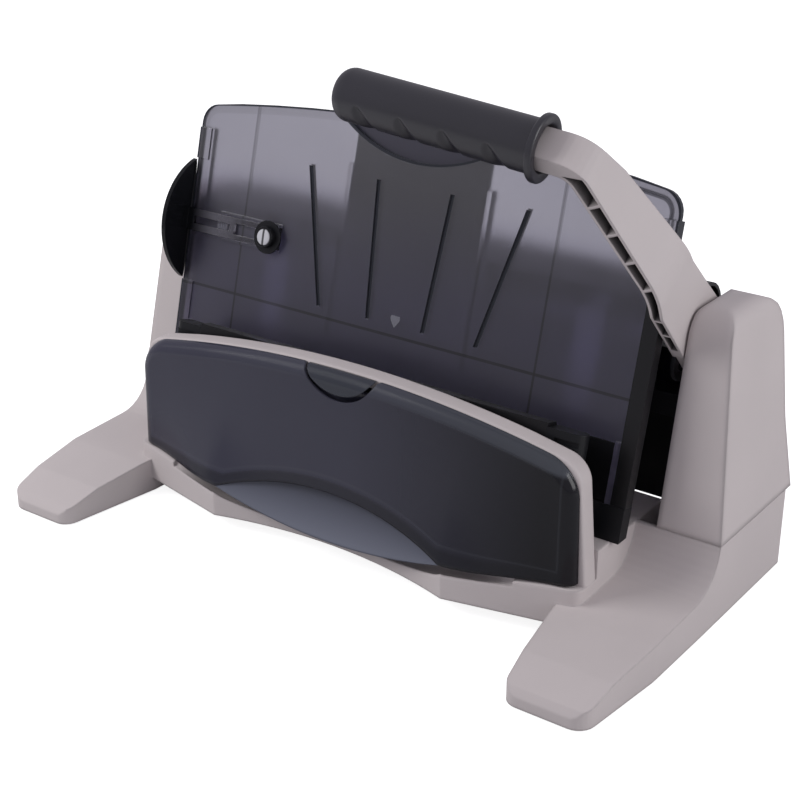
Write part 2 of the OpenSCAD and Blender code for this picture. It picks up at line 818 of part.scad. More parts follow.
module backrest_panel() {
    color(smoke)
        throat()
            difference() {
                union() {
                    along_y(0, panel_t)
                        panel_outline();
                    both_sides() {
                        // Side rail, carried down to its bracket
                        box([panel_half_w - rail_w, -1.2, -throat_depth],
                            [panel_half_w, 6.5, panel_corner - 14]);
                        // Leg beside the punch guide
                        box([guide_half_w + slide_gap, -1.2, -throat_depth],
                            [panel_half_w, 6.5, panel_foot_s + over]);
                        // Rail and lip that hold the sliding support
                        box([support_half_w + slide_gap, panel_t - 0.2, 2],
                            [support_half_w + slide_gap + 3, support_v + support_t + 2, rail_top_s]);
                        box([support_half_w - 3, support_v + support_t + slide_gap, 2],
                            [support_half_w + slide_gap + 3,
                                support_v + support_t + slide_gap + 1.6, rail_top_s]);
                    }
                    // Raised rails beside the side guide's tongue
                    for (s = [tongue_s[0] - slide_gap - 1.6, tongue_s[1] + slide_gap])
                        box([ear_x + ear_travel + 1.4, -1.5, s], [knob_x + 8, 0.2, s + 1.6]);
                }
                both_sides() {
                    panel_groove(55.5, 75);
                    panel_groove(19.5, 25.5);
                }
                translate([knob_x, 0, stem_s])
                    rod_y_axis(-over, panel_t + over, stem_r + run_gap);
                // The left rail is flush where the side guide passes over it
                box([-panel_half_w - over, -2, ear_s - ear_h / 2 - over],
                    [-panel_half_w + rail_w + over, 0, ear_s + ear_h / 2 + over]);
            }
}
support_s = [4, panel_crown - 4];
support_head_s = rail_top_s + 2;
support_head_w = notch_half_w + 4;
module paper_support() {
    color(smoke)
        throat()
            difference() {
                along_y(support_v, support_v + support_t)
                    polygon(rounded([[-support_half_w, support_s[0], 3],
                        [support_half_w, support_s[0], 3],
                        [support_half_w, support_head_s, 0], [support_head_w, support_head_s, 3],
                        [support_head_w, support_s[1], 8], [-support_head_w, support_s[1], 8],
                        [-support_head_w, support_head_s, 3], [-support_half_w, support_head_s, 0]]));
                // Finger hollow below the top edge
                translate([0, support_v - 9, support_s[1] - 12])
                    rod_x_axis(-16, 16, 10);
            }
}

// Side guide: an ear on a tongue that runs on the panel's face
ear_t = 3;
ear_x = -panel_half_w - slide_gap;
ear_r = (ear_h * ear_h / 4 + ear_reach * ear_reach) / (2 * ear_reach);
tongue_t = 2;
module side_guide() {
    color(black)
        throat() {
            intersection() {
                translate([0, -slide_gap - ear_reach + ear_r, ear_s])
                    rod_x_axis(ear_x - ear_t, ear_x, ear_r);
                box([ear_x - ear_t - over, -slide_gap - ear_reach - over, ear_s - ear_h],
                    [ear_x + over, -slide_gap, ear_s + ear_h]);
            }
            difference() {
                box([ear_x - over, -slide_gap - tongue_t, tongue_s[0]],
                    [knob_x + 8, -slide_gap, tongue_s[1]]);
                // Window over the scale
                box([ear_x + 5, -slide_gap - tongue_t - over, ear_s - 2],
                    [knob_x - ear_travel - stem_r - 4, over, ear_s + 2.5]);
                // Slot for the lock stem
                box([knob_x - ear_travel - stem_r - slide_gap, -slide_gap - tongue_t - over,
                    stem_s - stem_r - slide_gap],
                    [knob_x + stem_r + slide_gap, over, stem_s + stem_r + slide_gap]);
            }
        }
}
knob_v = -slide_gap - tongue_t - slide_gap;
washer_t = 0.8;
module lock_knob() {
    color(white)
        throat()
            translate([knob_x, 0, stem_s]) {
                difference() {
                    rod_y_axis(knob_v - washer_t - 3.6, knob_v - washer_t, knob_d / 2);
                    // Finger hollows beside the knob's bar
                    both_sides()
                        translate([knob_d / 2 + 0.6, 0, 0])
                            rod_y_axis(knob_v - washer_t - 4, knob_v - washer_t - 1.4, 4.2);
                }
                rod_y_axis(knob_v - washer_t - over, panel_t + 0.6, stem_r);
                rod_y_axis(panel_t + 0.5, panel_t + 1.6, stem_r + 1.6);
            }
}
module knob_washer() {
    color(black)
        throat()
            translate([knob_x, 0, stem_s])
                difference() {
                    rod_y_axis(knob_v - washer_t, knob_v, knob_d / 2 + 4.5);
                    rod_y_axis(knob_v - washer_t - over, knob_v + over, stem_r + seat_gap);
                }
}

// Rear cover and the beam that ties the frames
cover_t = 2;
cover_top_z = tower_top_z + 0.5;
cover_low_z = seam_z + 8;
cover_y = shaft_y - ledge_front;
cover_x = [-tower_in_x + 1, hub_x - 2];
cover_low_x = tower_in_x - 5.2;
module rear_cover() {
    color(black)
        place()
            union() {
                along_x(cover_x[0], cover_x[1])
                    cover_profile();
                // Lower wall between the towers of the base
                box([-cover_low_x, beam_y[1], frame_foot_z + 2],
                    [cover_x[1], beam_y[1] + cover_t, cover_low_z + over]);
            }
}
module cover_profile() {
    difference() {
        polygon(rounded([[beam_y[1] + cover_t, cover_low_z, 0], [beam_y[1] + cover_t, cover_top_z, 18],
            [cover_y, cover_top_z, 0], [cover_y, cover_top_z - 10, 0],
                [beam_y[1] - 30, cover_low_z, 0]]));
        polygon(rounded([[beam_y[1], cover_low_z - over, 0],
            [beam_y[1], cover_top_z - cover_t, 18 - cover_t],
            [cover_y - over, cover_top_z - cover_t, 0], [cover_y - over, cover_low_z - over, 0]]));
    }
}
module tie_beam() {
    color(putty)
        place()
            box([-frame_x, beam_y[0], beam_z[0]], [frame_x, beam_y[1], beam_z[1]]);
}
screw_pitch = (panel_half_w - 13) / 2;
screw_x = [for (i = [-2:2]) i * screw_pitch];
module cover_screws() {
    color(steel)
        place()
            for (x = screw_x)
                translate([x, beam_y[1] + cover_t, (beam_z[0] + beam_z[1]) / 2])
                    difference() {
                        rod_y_axis(0, 2, 4);
                        box([-3, 1.2, -0.5], [3, 2 + over, 0.5]);
                    }
}

// Lever
module lever_shaft() {
    color(steel)
        place()
            translate([0, shaft_y, shaft_z])
                rod_x_axis(-shaft_end, shaft_end, shaft_d / 2);
}
clip_x = bush_x[1] + 0.3;
module shaft_clips() {
    color(steel)
        both_sides()
            place()
                translate([0, shaft_y, shaft_z])
                    difference() {
                        rod_x_axis(clip_x, clip_x + 1.2, shaft_d / 2 + 3);
                        rod_x_axis(clip_x - over, clip_x + 2.2, shaft_d / 2 + seat_gap);
                    }
}
// Cam lobe: the follower's centre keeps to a spiral of constant rise, and the face lies a nose radius inside it
function spiral(a) = (follow_r + cam_rate * a) * [cos(180 - panel_tilt - a), sin(180 - panel_tilt - a)];
function spiral_normal(a) = let (d = unit(spiral(a + 0.1) - spiral(a - 0.1))) [d[1], -d[0]];
function cam_face(a) = let (n = spiral_normal(a), inward = n * spiral(a) > 0 ? -n : n)
    spiral(a) + inward * (nose_r + cam_gap);
cam_core_r = follow_r - nose_r - cam_gap;
cam_steps = 20;
cam_end = lever_pull + 2;
tip_turn = 6;
lobe_back = 60;
// Outline: hollow that clears the nose at rest, spiral lobe, rounded tip, and the round core back to the start
cam_outline = let (rise = atan2(cam_rate * 180 / PI, follow_r))
    concat(
        [for (i = [0:3]) let (a = rise * i / 4 - panel_tilt) spiral(0) + (nose_r + cam_gap)
            * [cos(a), sin(a)]],
        [for (i = [0:cam_steps]) cam_face((cam_end - tip_turn) * i / cam_steps)],
        corner(cam_face(cam_end - tip_turn), cam_face(cam_end),
            cam_core_r * [cos(lobe_back), sin(lobe_back)], 1),
        [for (i = [0:2 * cam_steps - 1]) let (a = lobe_back - (180 + lobe_back + panel_tilt)
            * i / (2 * cam_steps))
            cam_core_r * [cos(a), sin(a)]]);
module cam(x) {
    color(steel)
        place()
            translate([0, shaft_y, shaft_z])
                difference() {
                    along_x(x - cam_t / 2, x + cam_t / 2)
                        polygon(cam_outline);
                    rod_x_axis(x - cam_t, x + cam_t, shaft_d / 2 + seat_gap);
                }
}
module right_cam() {
    cam(cam_x);
}
module left_cam() {
    cam(-cam_x);
}
hub_ear = 9;
// Hub plate with the ear that takes the arm's dowel, grown by e
module hub_plate(x0, x1, e) {
    rod_x_axis(x0, x1, arm_root_half - 2 + e);
    along_x(x0, x1)
        polygon(rounded([[-arm_root_half - hub_ear - e, 2 - e, hub_ear],
            [-arm_root_half - hub_ear - e, arm_root_half + e, hub_ear],
            [8, arm_root_half + e, 4], [8, 2 - e, 4]]));
}
module lever_hub() {
    color(black)
        lever()
            difference() {
                hub_plate(hub_x, hub_x + hub_t, 0);
                rod_x_axis(hub_x - over, hub_x + hub_t + over, shaft_d / 2 + seat_gap);
                translate([0, -arm_root_half, arm_root_half / 2 + 1])
                    rod_x_axis(hub_x - over, hub_x + hub_t + over, 4);
            }
}
// Middle line of the arm in the plane of shaft and lever: straight beside the panel, leaning in above it,
// then over a knee to the grip
arm_bend_r = 76;
bend_round = 40;
knee_run = 22;
knee_round = 16;
collar_half = 2;
arm_mid_x = hub_x + 0.1 + arm_t / 2;
grip_dir = [cos(grip_slope), -sin(grip_slope)];
arm_root = [arm_mid_x, 0];
arm_bend = [arm_mid_x, arm_bend_r];
arm_tip = [grip_base_x, lever_reach] - (collar_half - 0.1) * grip_dir;
arm_knee = arm_tip + knee_run * grip_dir;
arm_lean = unit(arm_knee - arm_bend);
arm_line = concat([arm_root], corner(arm_root, arm_bend, arm_knee, bend_round),
    corner(arm_bend, arm_knee, arm_tip, knee_round), [arm_tip]);
arm_last = len(arm_line) - 1;
function arm_normal(i) = let (d = i == 0 ? [0, 1] : i == arm_last ? -grip_dir
    : unit(arm_line[i + 1] - arm_line[i - 1])) [d[1], -d[0]];
// The arm thickens on the outside first, and on the inside once it is clear of the panel
function ramp(r, low, run) = max(0, min(1, (r - low) / run));
function arm_half(r, low) = (arm_t + (arm_end_t - arm_t) * ramp(r, low, 30)) / 2;
function arm_face(side, e) = [for (i = [0:arm_last])
    let (p = arm_line[i], half = arm_half(p[1], side > 0 ? arm_bend_r - 14 : arm_bend_r + 8))
    p + side * (half - e) * arm_normal(i)];
function arm_band(e) = let (inner = arm_face(-1, e))
    concat(arm_face(1, e), [for (i = [arm_last:-1:0]) inner[i]]);
// Breadth of the arm against its reach: the rear edge is straight and the front edge tapers
arm_front_w = 28.5;
arm_rear_w = 11.5;
arm_waist_w = 8.5;
arm_breadth = [[-arm_root_half, 0], [-arm_root_half - 4, 40], [-arm_front_w, arm_bend_r - 12],
    [-arm_end_half - 1, lever_reach - 7], [-arm_end_half, lever_reach + 14],
        [arm_end_half, lever_reach + 14],
    [arm_end_half + 1, lever_reach - 7], [arm_rear_w, lever_reach - 22], [arm_waist_w, arm_bend_r + 8],
    [arm_waist_w + 1, arm_bend_r - 12], [arm_root_half - 8, 40], [arm_root_half, 0]];
// Channel open to the front, seen across the arm
pocket_wall = 1.6;
pocket_low = 30;
pocket_high = lever_reach - 6;
pocket_view = [[-2 * arm_root_half, pocket_low], [arm_waist_w - wall, pocket_low],
    [arm_waist_w - wall, lever_reach - 22], [arm_end_half - wall, pocket_high],
        [-2 * arm_root_half, pocket_high]];
// Places of the ribs: below the bend as a share of the straight length, above it as a share of the lean
rib_places = [-0.4, -0.2, 0.08, 0.3, 0.52, 0.74];
rib_t = 1.6;
function arm_point(u) = arm_bend + u * (u < 0 ? arm_bend - arm_root : arm_knee - arm_bend);
module arm_rib(u) {
    p = arm_point(u);
    lean = u < 0 ? 0 : atan2(-arm_lean[0], arm_lean[1]);
    translate([p[0], 0, p[1]])
        rotate([0, -lean, 0])
            box([-arm_end_t, -2 * arm_root_half, -rib_t / 2], [arm_end_t, 2 * arm_root_half, rib_t / 2]);
}
module lever_arm() {
    color(putty)
        lever()
            difference() {
                union() {
                    intersection() {
                        along_y(-2 * arm_root_half, 2 * arm_root_half)
                            polygon(arm_band(0));
                        along_x(0, base_half_w)
                            polygon(arm_breadth);
                    }
                    rod_x_axis(arm_mid_x - arm_t / 2, arm_mid_x + arm_t / 2, arm_root_half);
                }
                rod_x_axis(hub_x, base_half_w, shaft_d / 2 + seat_gap);
                hub_plate(hub_x - over, hub_x + hub_t, 0.2);
                // Channel crossed by ribs and a boss
                difference() {
                    intersection() {
                        along_y(-2 * arm_root_half, 2 * arm_root_half)
                            polygon(arm_band(pocket_wall));
                        along_x(0, base_half_w)
                            polygon(pocket_view);
                    }
                    for (t = rib_places)
                        arm_rib(t);
                    translate([0, -arm_root_half + 8, arm_point(-0.35)[1]])
                        rod_x_axis(hub_x, base_half_w, 4);
                }
                // Socket for the grip core
                grip_frame()
                    rod_x_axis(-core_in, core_in, core_r + seat_gap);
            }
}
core_r = 3.5;
core_in = 16;
// Frame of the grip: x along the grip away from the arm is negative, origin at the arm's end
module grip_frame() {
    translate([grip_base_x, 0, lever_reach])
        rotate([0, grip_slope, 0])
            children();
}
module grip_core() {
    color(steel)
        lever()
            grip_frame()
                rod_x_axis(-grip_l + 12, core_in, core_r);
}
collar_lip = 3.5;
// Hollow of the collar that takes the arm's end
hollow_r = norm([arm_end_half, arm_end_t / 2]) + 2;
scallops = 4;
scallop_pitch = 25;
scallop_first = 20;
scallop_r = 20;
scallop_depth = 2.5;
scallop_turn = 7;
module lever_grip() {
    r = grip_d / 2;
    far = r + scallop_r - scallop_depth;
    color(soft_black)
        lever()
            grip_frame()
                difference() {
                    rotate([0, -90, 0])
                        rotate_extrude()
                            polygon(rounded([[0, -collar_half, 0], [r + collar_lip, -collar_half, 1.2],
                                [r + collar_lip, collar_half, 1.2], [r, collar_half + 0.6, 0],
                                    [r, grip_l, 5],
                                [0, grip_l, 0]]));
                    // Finger scallops on the front
                    for (i = [0:scallops - 1])
                        translate([-scallop_first - scallop_pitch * i, -far * cos(scallop_turn),
                            far * sin(scallop_turn)])
                            sphere(r = scallop_r);
                    rod_x_axis(-grip_l + 12 - over, core_in, core_r + seat_gap);
                    rod_x_axis(-collar_half, collar_half + over, hollow_r);
                }
}

// Ram in the leaning frame
module ram() {
    color(steel)
        throat()
            difference() {
                union() {
                    box([-die_half_w + 2, ram_bar_v, ram_low_s],
                        [die_half_w - 2, ram_bar_v + ram_bar_t, ram_low_s + ram_bar_h]);
                    for (x = [-cam_x, cam_x])
                        along_x(x - 8, x + 8)
                            polygon([[ram_arm_v, shaft_s + 9], [nose_v, shaft_s + 9], [nose_v, 0],
                                [ram_bar_v + ram_bar_t, ram_low_s + ram_bar_h],
                                    [ram_bar_v + ram_bar_t, ram_low_s],
                                [ram_bar_v, ram_low_s], [ram_bar_v, ram_low_s + ram_bar_h - 5],
                                    [ram_arm_v, -6]]);
                }
                for (x = pin_places)
                    translate([x, 0, pin_s])
                        rod_y_axis(ram_bar_v - over, ram_bar_v + ram_bar_t + over, pin_r + seat_gap);
                for (x = [-rod_x, rod_x])
                    translate([x, 0, pin_s])
                        rod_y_axis(ram_bar_v - over, ram_bar_v + ram_bar_t + over, rod_d / 2 + run_gap);
            }
}
module cam_followers() {
    color(steel)
        throat()
            for (x = [-cam_x, cam_x])
                intersection() {
                    translate([0, nose_v, shaft_s])
                        rod_x_axis(x - 8, x + 8, nose_r);
                    box([x - 9, nose_v, shaft_s - 10], [x + 9, nose_v + 10, shaft_s + 10]);
                }
}
module punch_pins() {
    color(steel)
        throat()
            for (x = pin_places)
                translate([x, 0, pin_s])
                    rod_y_axis(1, ram_bar_v + ram_bar_t, pin_r);
}

// Return springs: one unbroken helix on each guide rod, with a straight end at each face
spring_r = rod_d / 2 + wire_d + 0.9;
spring_v = [guide_t + 0.05, ram_bar_v - 0.05];
rings_per_turn = 8;
ring_sides = 6;
leg_turn = 30;
leg_bend = 1.4;
spring_n = spring_turns * rings_per_turn;
coil_v = [spring_v[0] + wire_d + leg_bend, spring_v[1] - wire_d - leg_bend];
// Path entries: turn about the rod, place along it, and whether the ring lies flat across the rod's axis
spring_path = concat(
    [[-leg_turn, spring_v[0], true], [-leg_turn, spring_v[0] + wire_d, true]],
    [for (i = [0:spring_n]) [360 * i / rings_per_turn,
        coil_v[0] + (coil_v[1] - coil_v[0]) * i / spring_n, false]],
    [[360 * spring_turns + leg_turn, spring_v[1] - wire_d, true],
        [360 * spring_turns + leg_turn, spring_v[1], true]]);
function spring_point(p) = [spring_r * cos(p[0]), p[1], spring_r * sin(p[0])];
function spring_ring(p) = let (c = [cos(p[0]), 0, sin(p[0])],
    u = p[2] ? [sin(p[0]), 0, -cos(p[0])] : [0, 1, 0])
    [for (k = [0:ring_sides - 1]) let (a = 360 * k / ring_sides)
        spring_point(p) + wire_d / 2 * (cos(a) * c + sin(a) * u)];
module coil() {
    last = len(spring_path) - 1;
    end = last * ring_sides;
    points = [for (p = spring_path) each spring_ring(p)];
    sides = [for (i = [0:last - 1]) for (k = [0:ring_sides - 1])
        let (a = i * ring_sides + k, b = i * ring_sides + (k + 1) % ring_sides)
        each [[a, b + ring_sides, b], [a, a + ring_sides, b + ring_sides]]];
    caps = [for (k = [1:ring_sides - 2]) each [[0, k, k + 1], [end, end + k + 1, end + k]]];
    polyhedron(points = points, faces = concat(sides, caps));
}
spring_gap = min([for (i = [0:len(spring_path) - 1 - rings_per_turn])
    norm(spring_point(spring_path[i + rings_per_turn]) - spring_point(spring_path[i])) - wire_d]);
echo(least_gap_between_spring_turns = spring_gap);
module return_springs() {
    color(steel)
        throat()
            for (x = [-rod_x, rod_x])
                translate([x, 0, pin_s])
                    coil();
}

base();
right_tower_cover();
left_tower_cover();
front_housing();
right_side_frame();
left_side_frame();
shaft_bushes();
die_bar();
die_bushes();
die_end_caps();
punch_guide();
paper_stop();
throat_brackets();
guide_rods();
backrest_panel();
rear_cover();
tie_beam();
cover_screws();
rubber_feet();
door_hinge_pins();
front_door();
chip_pan();
door_latch();
paper_support();
side_guide();
lock_knob();
knob_washer();
lever_shaft();
shaft_clips();
right_cam();
left_cam();
lever_hub();
lever_arm();
grip_core();
lever_grip();
ram();
cam_followers();
punch_pins();
return_springs();
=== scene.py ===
"""Heavy duty hole punch: finishes, soft pieces, fine marks, floor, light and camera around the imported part."""
import json
import logging
import math
from dataclasses import dataclass
from enum import Enum

import bpy
import numpy as np
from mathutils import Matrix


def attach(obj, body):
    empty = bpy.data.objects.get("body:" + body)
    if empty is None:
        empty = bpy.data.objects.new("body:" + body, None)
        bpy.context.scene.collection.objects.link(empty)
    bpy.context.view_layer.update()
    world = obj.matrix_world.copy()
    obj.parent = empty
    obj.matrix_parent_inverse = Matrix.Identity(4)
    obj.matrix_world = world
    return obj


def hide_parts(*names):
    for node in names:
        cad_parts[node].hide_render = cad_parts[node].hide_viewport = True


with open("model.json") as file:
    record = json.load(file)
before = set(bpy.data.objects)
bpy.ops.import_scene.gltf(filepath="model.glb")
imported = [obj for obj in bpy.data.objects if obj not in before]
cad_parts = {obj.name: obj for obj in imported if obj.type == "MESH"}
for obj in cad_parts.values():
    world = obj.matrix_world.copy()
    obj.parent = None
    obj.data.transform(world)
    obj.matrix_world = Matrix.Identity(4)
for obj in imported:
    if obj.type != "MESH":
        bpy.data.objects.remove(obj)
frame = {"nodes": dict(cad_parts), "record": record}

log = logging.getLogger("hole_punch")
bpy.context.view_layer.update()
MM = 0.001
QUARTER = math.pi / 2
FULL = 2 * math.pi
NOISE_SPAN = (0.3, 0.7)
EDGE_SAMPLES = 6
HOLLOW_SHADE_SAMPLES = 8
ON_AXIS = 0.01  # radius in millimetres that closes a turned outline
Vec = tuple[float, float, float]
Span = tuple[float, float]
Band = tuple[float, float, float]  # middle, half width and soft edge, in metres
Node = bpy.types.Node
Socket = bpy.types.NodeSocket
Term = float | Socket


class Slot(str, Enum):
    """Material slots of the record."""

    PUTTY = "putty_plastic"
    SMOKE = "smoke_plastic"
    BLACK = "black_plastic"
    WHITE = "white_plastic"
    BLACK_STEEL = "black_steel"
    PUTTY_PAINT = "putty_paint"
    STEEL = "steel"
    BRASS = "brass"
    GRIP = "grip_rubber"
    RUBBER = "rubber"


class Shader:
    """The node tree of a material or of the surroundings, with short calls to add and join nodes."""

    def __init__(self, name: str, world: bool = False) -> None:
        """Starts an empty tree with its output.

        Args:
            name: the name of the material or of the surroundings.
            world: whether it is for the surroundings.
        """
        self.owner = (bpy.data.worlds if world else bpy.data.materials).new(name)
        self.owner.use_nodes = True
        self.tree = self.owner.node_tree
        self.tree.nodes.clear()
        self.output = self.add("ShaderNodeOutputWorld" if world else "ShaderNodeOutputMaterial")
        self.coords = self.add("ShaderNodeTexCoord")
        self.parts: Node | None = None

    def add(self, kind: str, **inputs: object) -> Node:
        """Adds a node and sets its sockets.

        Args:
            kind: the node's type name.
            inputs: socket names, with underscores for spaces, and their values.

        Returns:
            The new node.
        """
        node = self.tree.nodes.new(kind)
        for key, value in inputs.items():
            node.inputs[key.replace("_", " ")].default_value = value
        return node

    def join(self, source: Socket, target: Socket) -> None:
        """Links two sockets."""
        self.tree.links.new(source, target)

    def noise(self, scale: float, detail: float, stretch: Vec = (1.0, 1.0, 1.0)) -> Socket:
        """Adds noise in object coordinates.

        Args:
            scale: noise cells per metre.
            detail: octaves.
            stretch: scale along each axis, for brushed lines.

        Returns:
            The noise value socket.
        """
        mapping = self.add("ShaderNodeMapping", Scale=stretch)
        texture = self.add("ShaderNodeTexNoise", Scale=scale, Detail=detail)
        self.join(self.coords.outputs["Object"], mapping.inputs["Vector"])
        self.join(mapping.outputs["Vector"], texture.inputs["Vector"])
        return texture.outputs["Fac"]

    def remap(self, value: Socket, source: Span, result: Span) -> Socket:
        """Maps one range to another and holds the result at its ends.

        Args:
            value: the value's socket.
            source: both ends of the range that comes in.
            result: what they become.

        Returns:
            The mapped value's socket.
        """
        (low, high), (start, end) = source, result
        node = self.add("ShaderNodeMapRange", From_Min=low, From_Max=high, To_Min=start, To_Max=end)
        self.join(value, node.inputs["Value"])
        return node.outputs["Result"]

    def spread(self, value: Socket, middle: float, half: float) -> Socket:
        """Maps a noise value to a range about a middle."""
        return self.remap(value, NOISE_SPAN, (middle - half, middle + half))

    def tint(self, value: Socket, dark: Vec, light: Vec) -> Socket:
        """Blends two colours by a noise value.

        Args:
            value: the noise value's socket.
            dark: colour at the low end.
            light: colour at the high end.

        Returns:
            The colour socket.
        """
        ramp = self.add("ShaderNodeValToRGB")
        for stop, place, rgb in zip(ramp.color_ramp.elements, NOISE_SPAN, (dark, light)):
            stop.position = place
            stop.color = (*rgb, 1.0)
        self.join(value, ramp.inputs["Fac"])
        return ramp.outputs["Color"]

    def axis(self, name: str) -> Socket:
        """Gives one object coordinate, in metres.

        Args:
            name: X, Y or Z.

        Returns:
            The coordinate's socket.
        """
        if self.parts is None:
            self.parts = self.add("ShaderNodeSeparateXYZ")
            self.join(self.coords.outputs["Object"], self.parts.inputs["Vector"])
        return self.parts.outputs[name]

    def sum_of(self, kind: str, first: Term, second: Term = 0.0, third: Term = 0.0) -> Socket:
        """Does one step of arithmetic.

        Args:
            kind: the operation, such as ADD or LESS_THAN.
            first: a socket or a number.
            second: a socket or a number.
            third: a socket or a number, used by MULTIPLY_ADD.

        Returns:
            The result's socket.
        """
        node = self.add("ShaderNodeMath")
        node.operation = kind
        for socket, term in zip(node.inputs, (first, second, third)):
            if isinstance(term, (int, float)):
                socket.default_value = term
            else:
                self.join(term, socket)
        return node.outputs["Value"]

    def times(self, first: Term, second: Term) -> Socket:
        """Multiplies."""
        return self.sum_of("MULTIPLY", first, second)

    def less(self, first: Term, second: Term) -> Socket:
        """Takes the second from the first."""
        return self.sum_of("SUBTRACT", first, second)

    def most(self, first: Term, second: Term) -> Socket:
        """Gives the larger."""
        return self.sum_of("MAXIMUM", first, second)

    def square(self, value: Term) -> Socket:
        """Gives the square."""
        return self.sum_of("POWER", value, 2.0)

    def near(self, value: Term, centre: Term, half: float, soft: float = 0.0002) -> Socket:
        """Is 1 within a half width of a centre and falls to 0 over a soft edge."""
        away = self.sum_of("ABSOLUTE", self.less(value, centre))
        return self.remap(away, (half, half + soft), (1.0, 0.0))

    def blend(self, mask: Socket, under: Socket, over: Vec, share: float = 1.0) -> Socket:
        """Lays a colour over another by a mask.

        Args:
            mask: 0 to 1.
            under: the colour below.
            over: the colour laid on top.
            share: how much of it shows where the mask is 1.

        Returns:
            The colour's socket.
        """
        node = self.add("ShaderNodeMixRGB", Color2=(*over, 1.0))
        self.join(self.times(mask, share) if share < 1 else mask, node.inputs["Fac"])
        self.join(under, node.inputs["Color1"])
        return node.outputs["Color"]

    def seen(self) -> Socket:
        """Is 1 for what the camera sees, also through clear plastic, and 0 for light on its way to other faces."""
        path = self.add("ShaderNodeLightPath").outputs
        return self.most(path["Is Camera Ray"], path["Is Transmission Ray"])

    def hollow_shade(self, reach: float, gain: float) -> Socket:
        """Is near 1 in the piece's own narrow hollows and 0 on open faces; it masks painted shade.

        Args:
            reach: how far a wall may stand, in metres.
            gain: factor on the sheltered share.

        Returns:
            The mask's socket.
        """
        node = self.add("ShaderNodeAmbientOcclusion", Distance=reach)
        node.only_local = True
        node.samples = HOLLOW_SHADE_SAMPLES
        share = self.times(self.less(1.0, node.outputs["AO"]), gain)
        return self.sum_of("MINIMUM", share, 1.0)

    def relief(self, height: Socket, depth: float, edge: float) -> Socket:
        """Makes a normal from a bump over edges rounded by the renderer.

        Args:
            height: bump height socket.
            depth: bump depth in metres.
            edge: radius of the rounded edges in metres.

        Returns:
            The normal socket.
        """
        bump = self.add("ShaderNodeBump", Strength=1.0, Distance=depth)
        self.join(height, bump.inputs["Height"])
        soft = self.add("ShaderNodeBevel", Radius=edge)
        soft.samples = EDGE_SAMPLES
        self.join(soft.outputs["Normal"], bump.inputs["Normal"])
        return bump.outputs["Normal"]

    def close(self, surface: Socket) -> bpy.types.ID:
        """Joins a surface to the output and gives the finished material or surroundings."""
        self.join(surface, self.output.inputs["Surface"])
        return self.owner


def shade(rgb: Vec, factor: float) -> Vec:
    """Scales a colour."""
    return tuple(min(1.0, c * factor) for c in rgb)


@dataclass(frozen=True)
class Moulded:
    """Moulded plastic, paint or rubber with a fine grain, a slight mottle and, where asked for, painted shade in its
    own hollows.
    """

    rgb: Vec
    rough: float
    grain: float
    grain_depth: float
    edge: float
    mottle: float = 0.05
    # Painted shade in the piece's own hollows: strength in the next field, how far a wall may stand in reach, colour
    # factor in deep.
    painted_crevice_shade: float = 0.0
    shine: float = 0.5
    patchy: float = 0.05
    cloud: float = 18.0
    reach: float = 0.012
    deep: float = 0.05

    def marks(self, sh: Shader, colour: Socket) -> Socket:
        """Adds what is special to one piece; plain mouldings have no marks."""
        return colour

    def build(self, name: str) -> bpy.types.Material:
        """Makes the material.

        Args:
            name: the material's name.

        Returns:
            The material.
        """
        sh = Shader(name)
        body = sh.add("ShaderNodeBsdfPrincipled", Specular_IOR_Level=self.shine)
        cloud = sh.noise(self.cloud, 3.0)
        grain = sh.noise(self.grain, 2.0)
        colour = sh.tint(cloud, shade(self.rgb, 1 - self.mottle), shade(self.rgb, 1 + self.mottle))
        # Painted shade: darkens the piece's own hollows, where shade falls.
        if self.painted_crevice_shade > 0:
            colour = sh.blend(sh.hollow_shade(self.reach, self.painted_crevice_shade), colour, shade(self.rgb, self.deep))
        sh.join(self.marks(sh, colour), body.inputs["Base Color"])
        sh.join(sh.spread(cloud, self.rough, self.patchy), body.inputs["Roughness"])
        sh.join(sh.relief(grain, self.grain_depth, self.edge), body.inputs["Normal"])
        return sh.close(body.outputs["BSDF"])


@dataclass(frozen=True)
class SlottedWhite(Moulded):
    """White plastic of the knob's face with a coin slot across it, whose shade is painted as a dark band."""

    slot_shade: Band = (-0.098, 0.0006, 0.0003)
    tone: float = 0.12

    def marks(self, sh: Shader, colour: Socket) -> Socket:
        """Paints the slot's shade: darkens a narrow upright band about the knob's middle."""
        return sh.blend(sh.near(sh.axis("X"), *self.slot_shade), colour, shade(self.rgb, self.tone))


@dataclass(frozen=True)
class Smoked:
    """Smoke tinted clear plastic with a faint frost."""

    rgb: Vec
    rough: float
    edge: float
    clear: float = 0.97
    shine: float = 0.35
    patchy: float = 0.03
    cloud: float = 12.0
    mottle: float = 0.04
    frost: float = 900.0
    frost_depth: float = 0.00001
    ior: float = 1.49

    def marks(self, sh: Shader, colour: Socket, body: Node) -> Socket:
        """Adds what is special to one sheet; plain smoke has no marks."""
        return colour

    def build(self, name: str) -> bpy.types.Material:
        """Makes the material.

        Args:
            name: the material's name.

        Returns:
            The material.
        """
        sh = Shader(name)
        body = sh.add("ShaderNodeBsdfPrincipled", Transmission_Weight=self.clear, IOR=self.ior)
        body.inputs["Specular IOR Level"].default_value = self.shine
        cloud = sh.noise(self.cloud, 2.0)
        tint = sh.tint(cloud, shade(self.rgb, 1 - self.mottle), shade(self.rgb, 1 + self.mottle))
        sh.join(sh.spread(cloud, self.rough, self.patchy), body.inputs["Roughness"])
        sh.join(self.marks(sh, tint, body), body.inputs["Base Color"])
        sh.join(sh.relief(sh.noise(self.frost, 2.0), self.frost_depth, self.edge), body.inputs["Normal"])
        return sh.close(body.outputs["BSDF"])


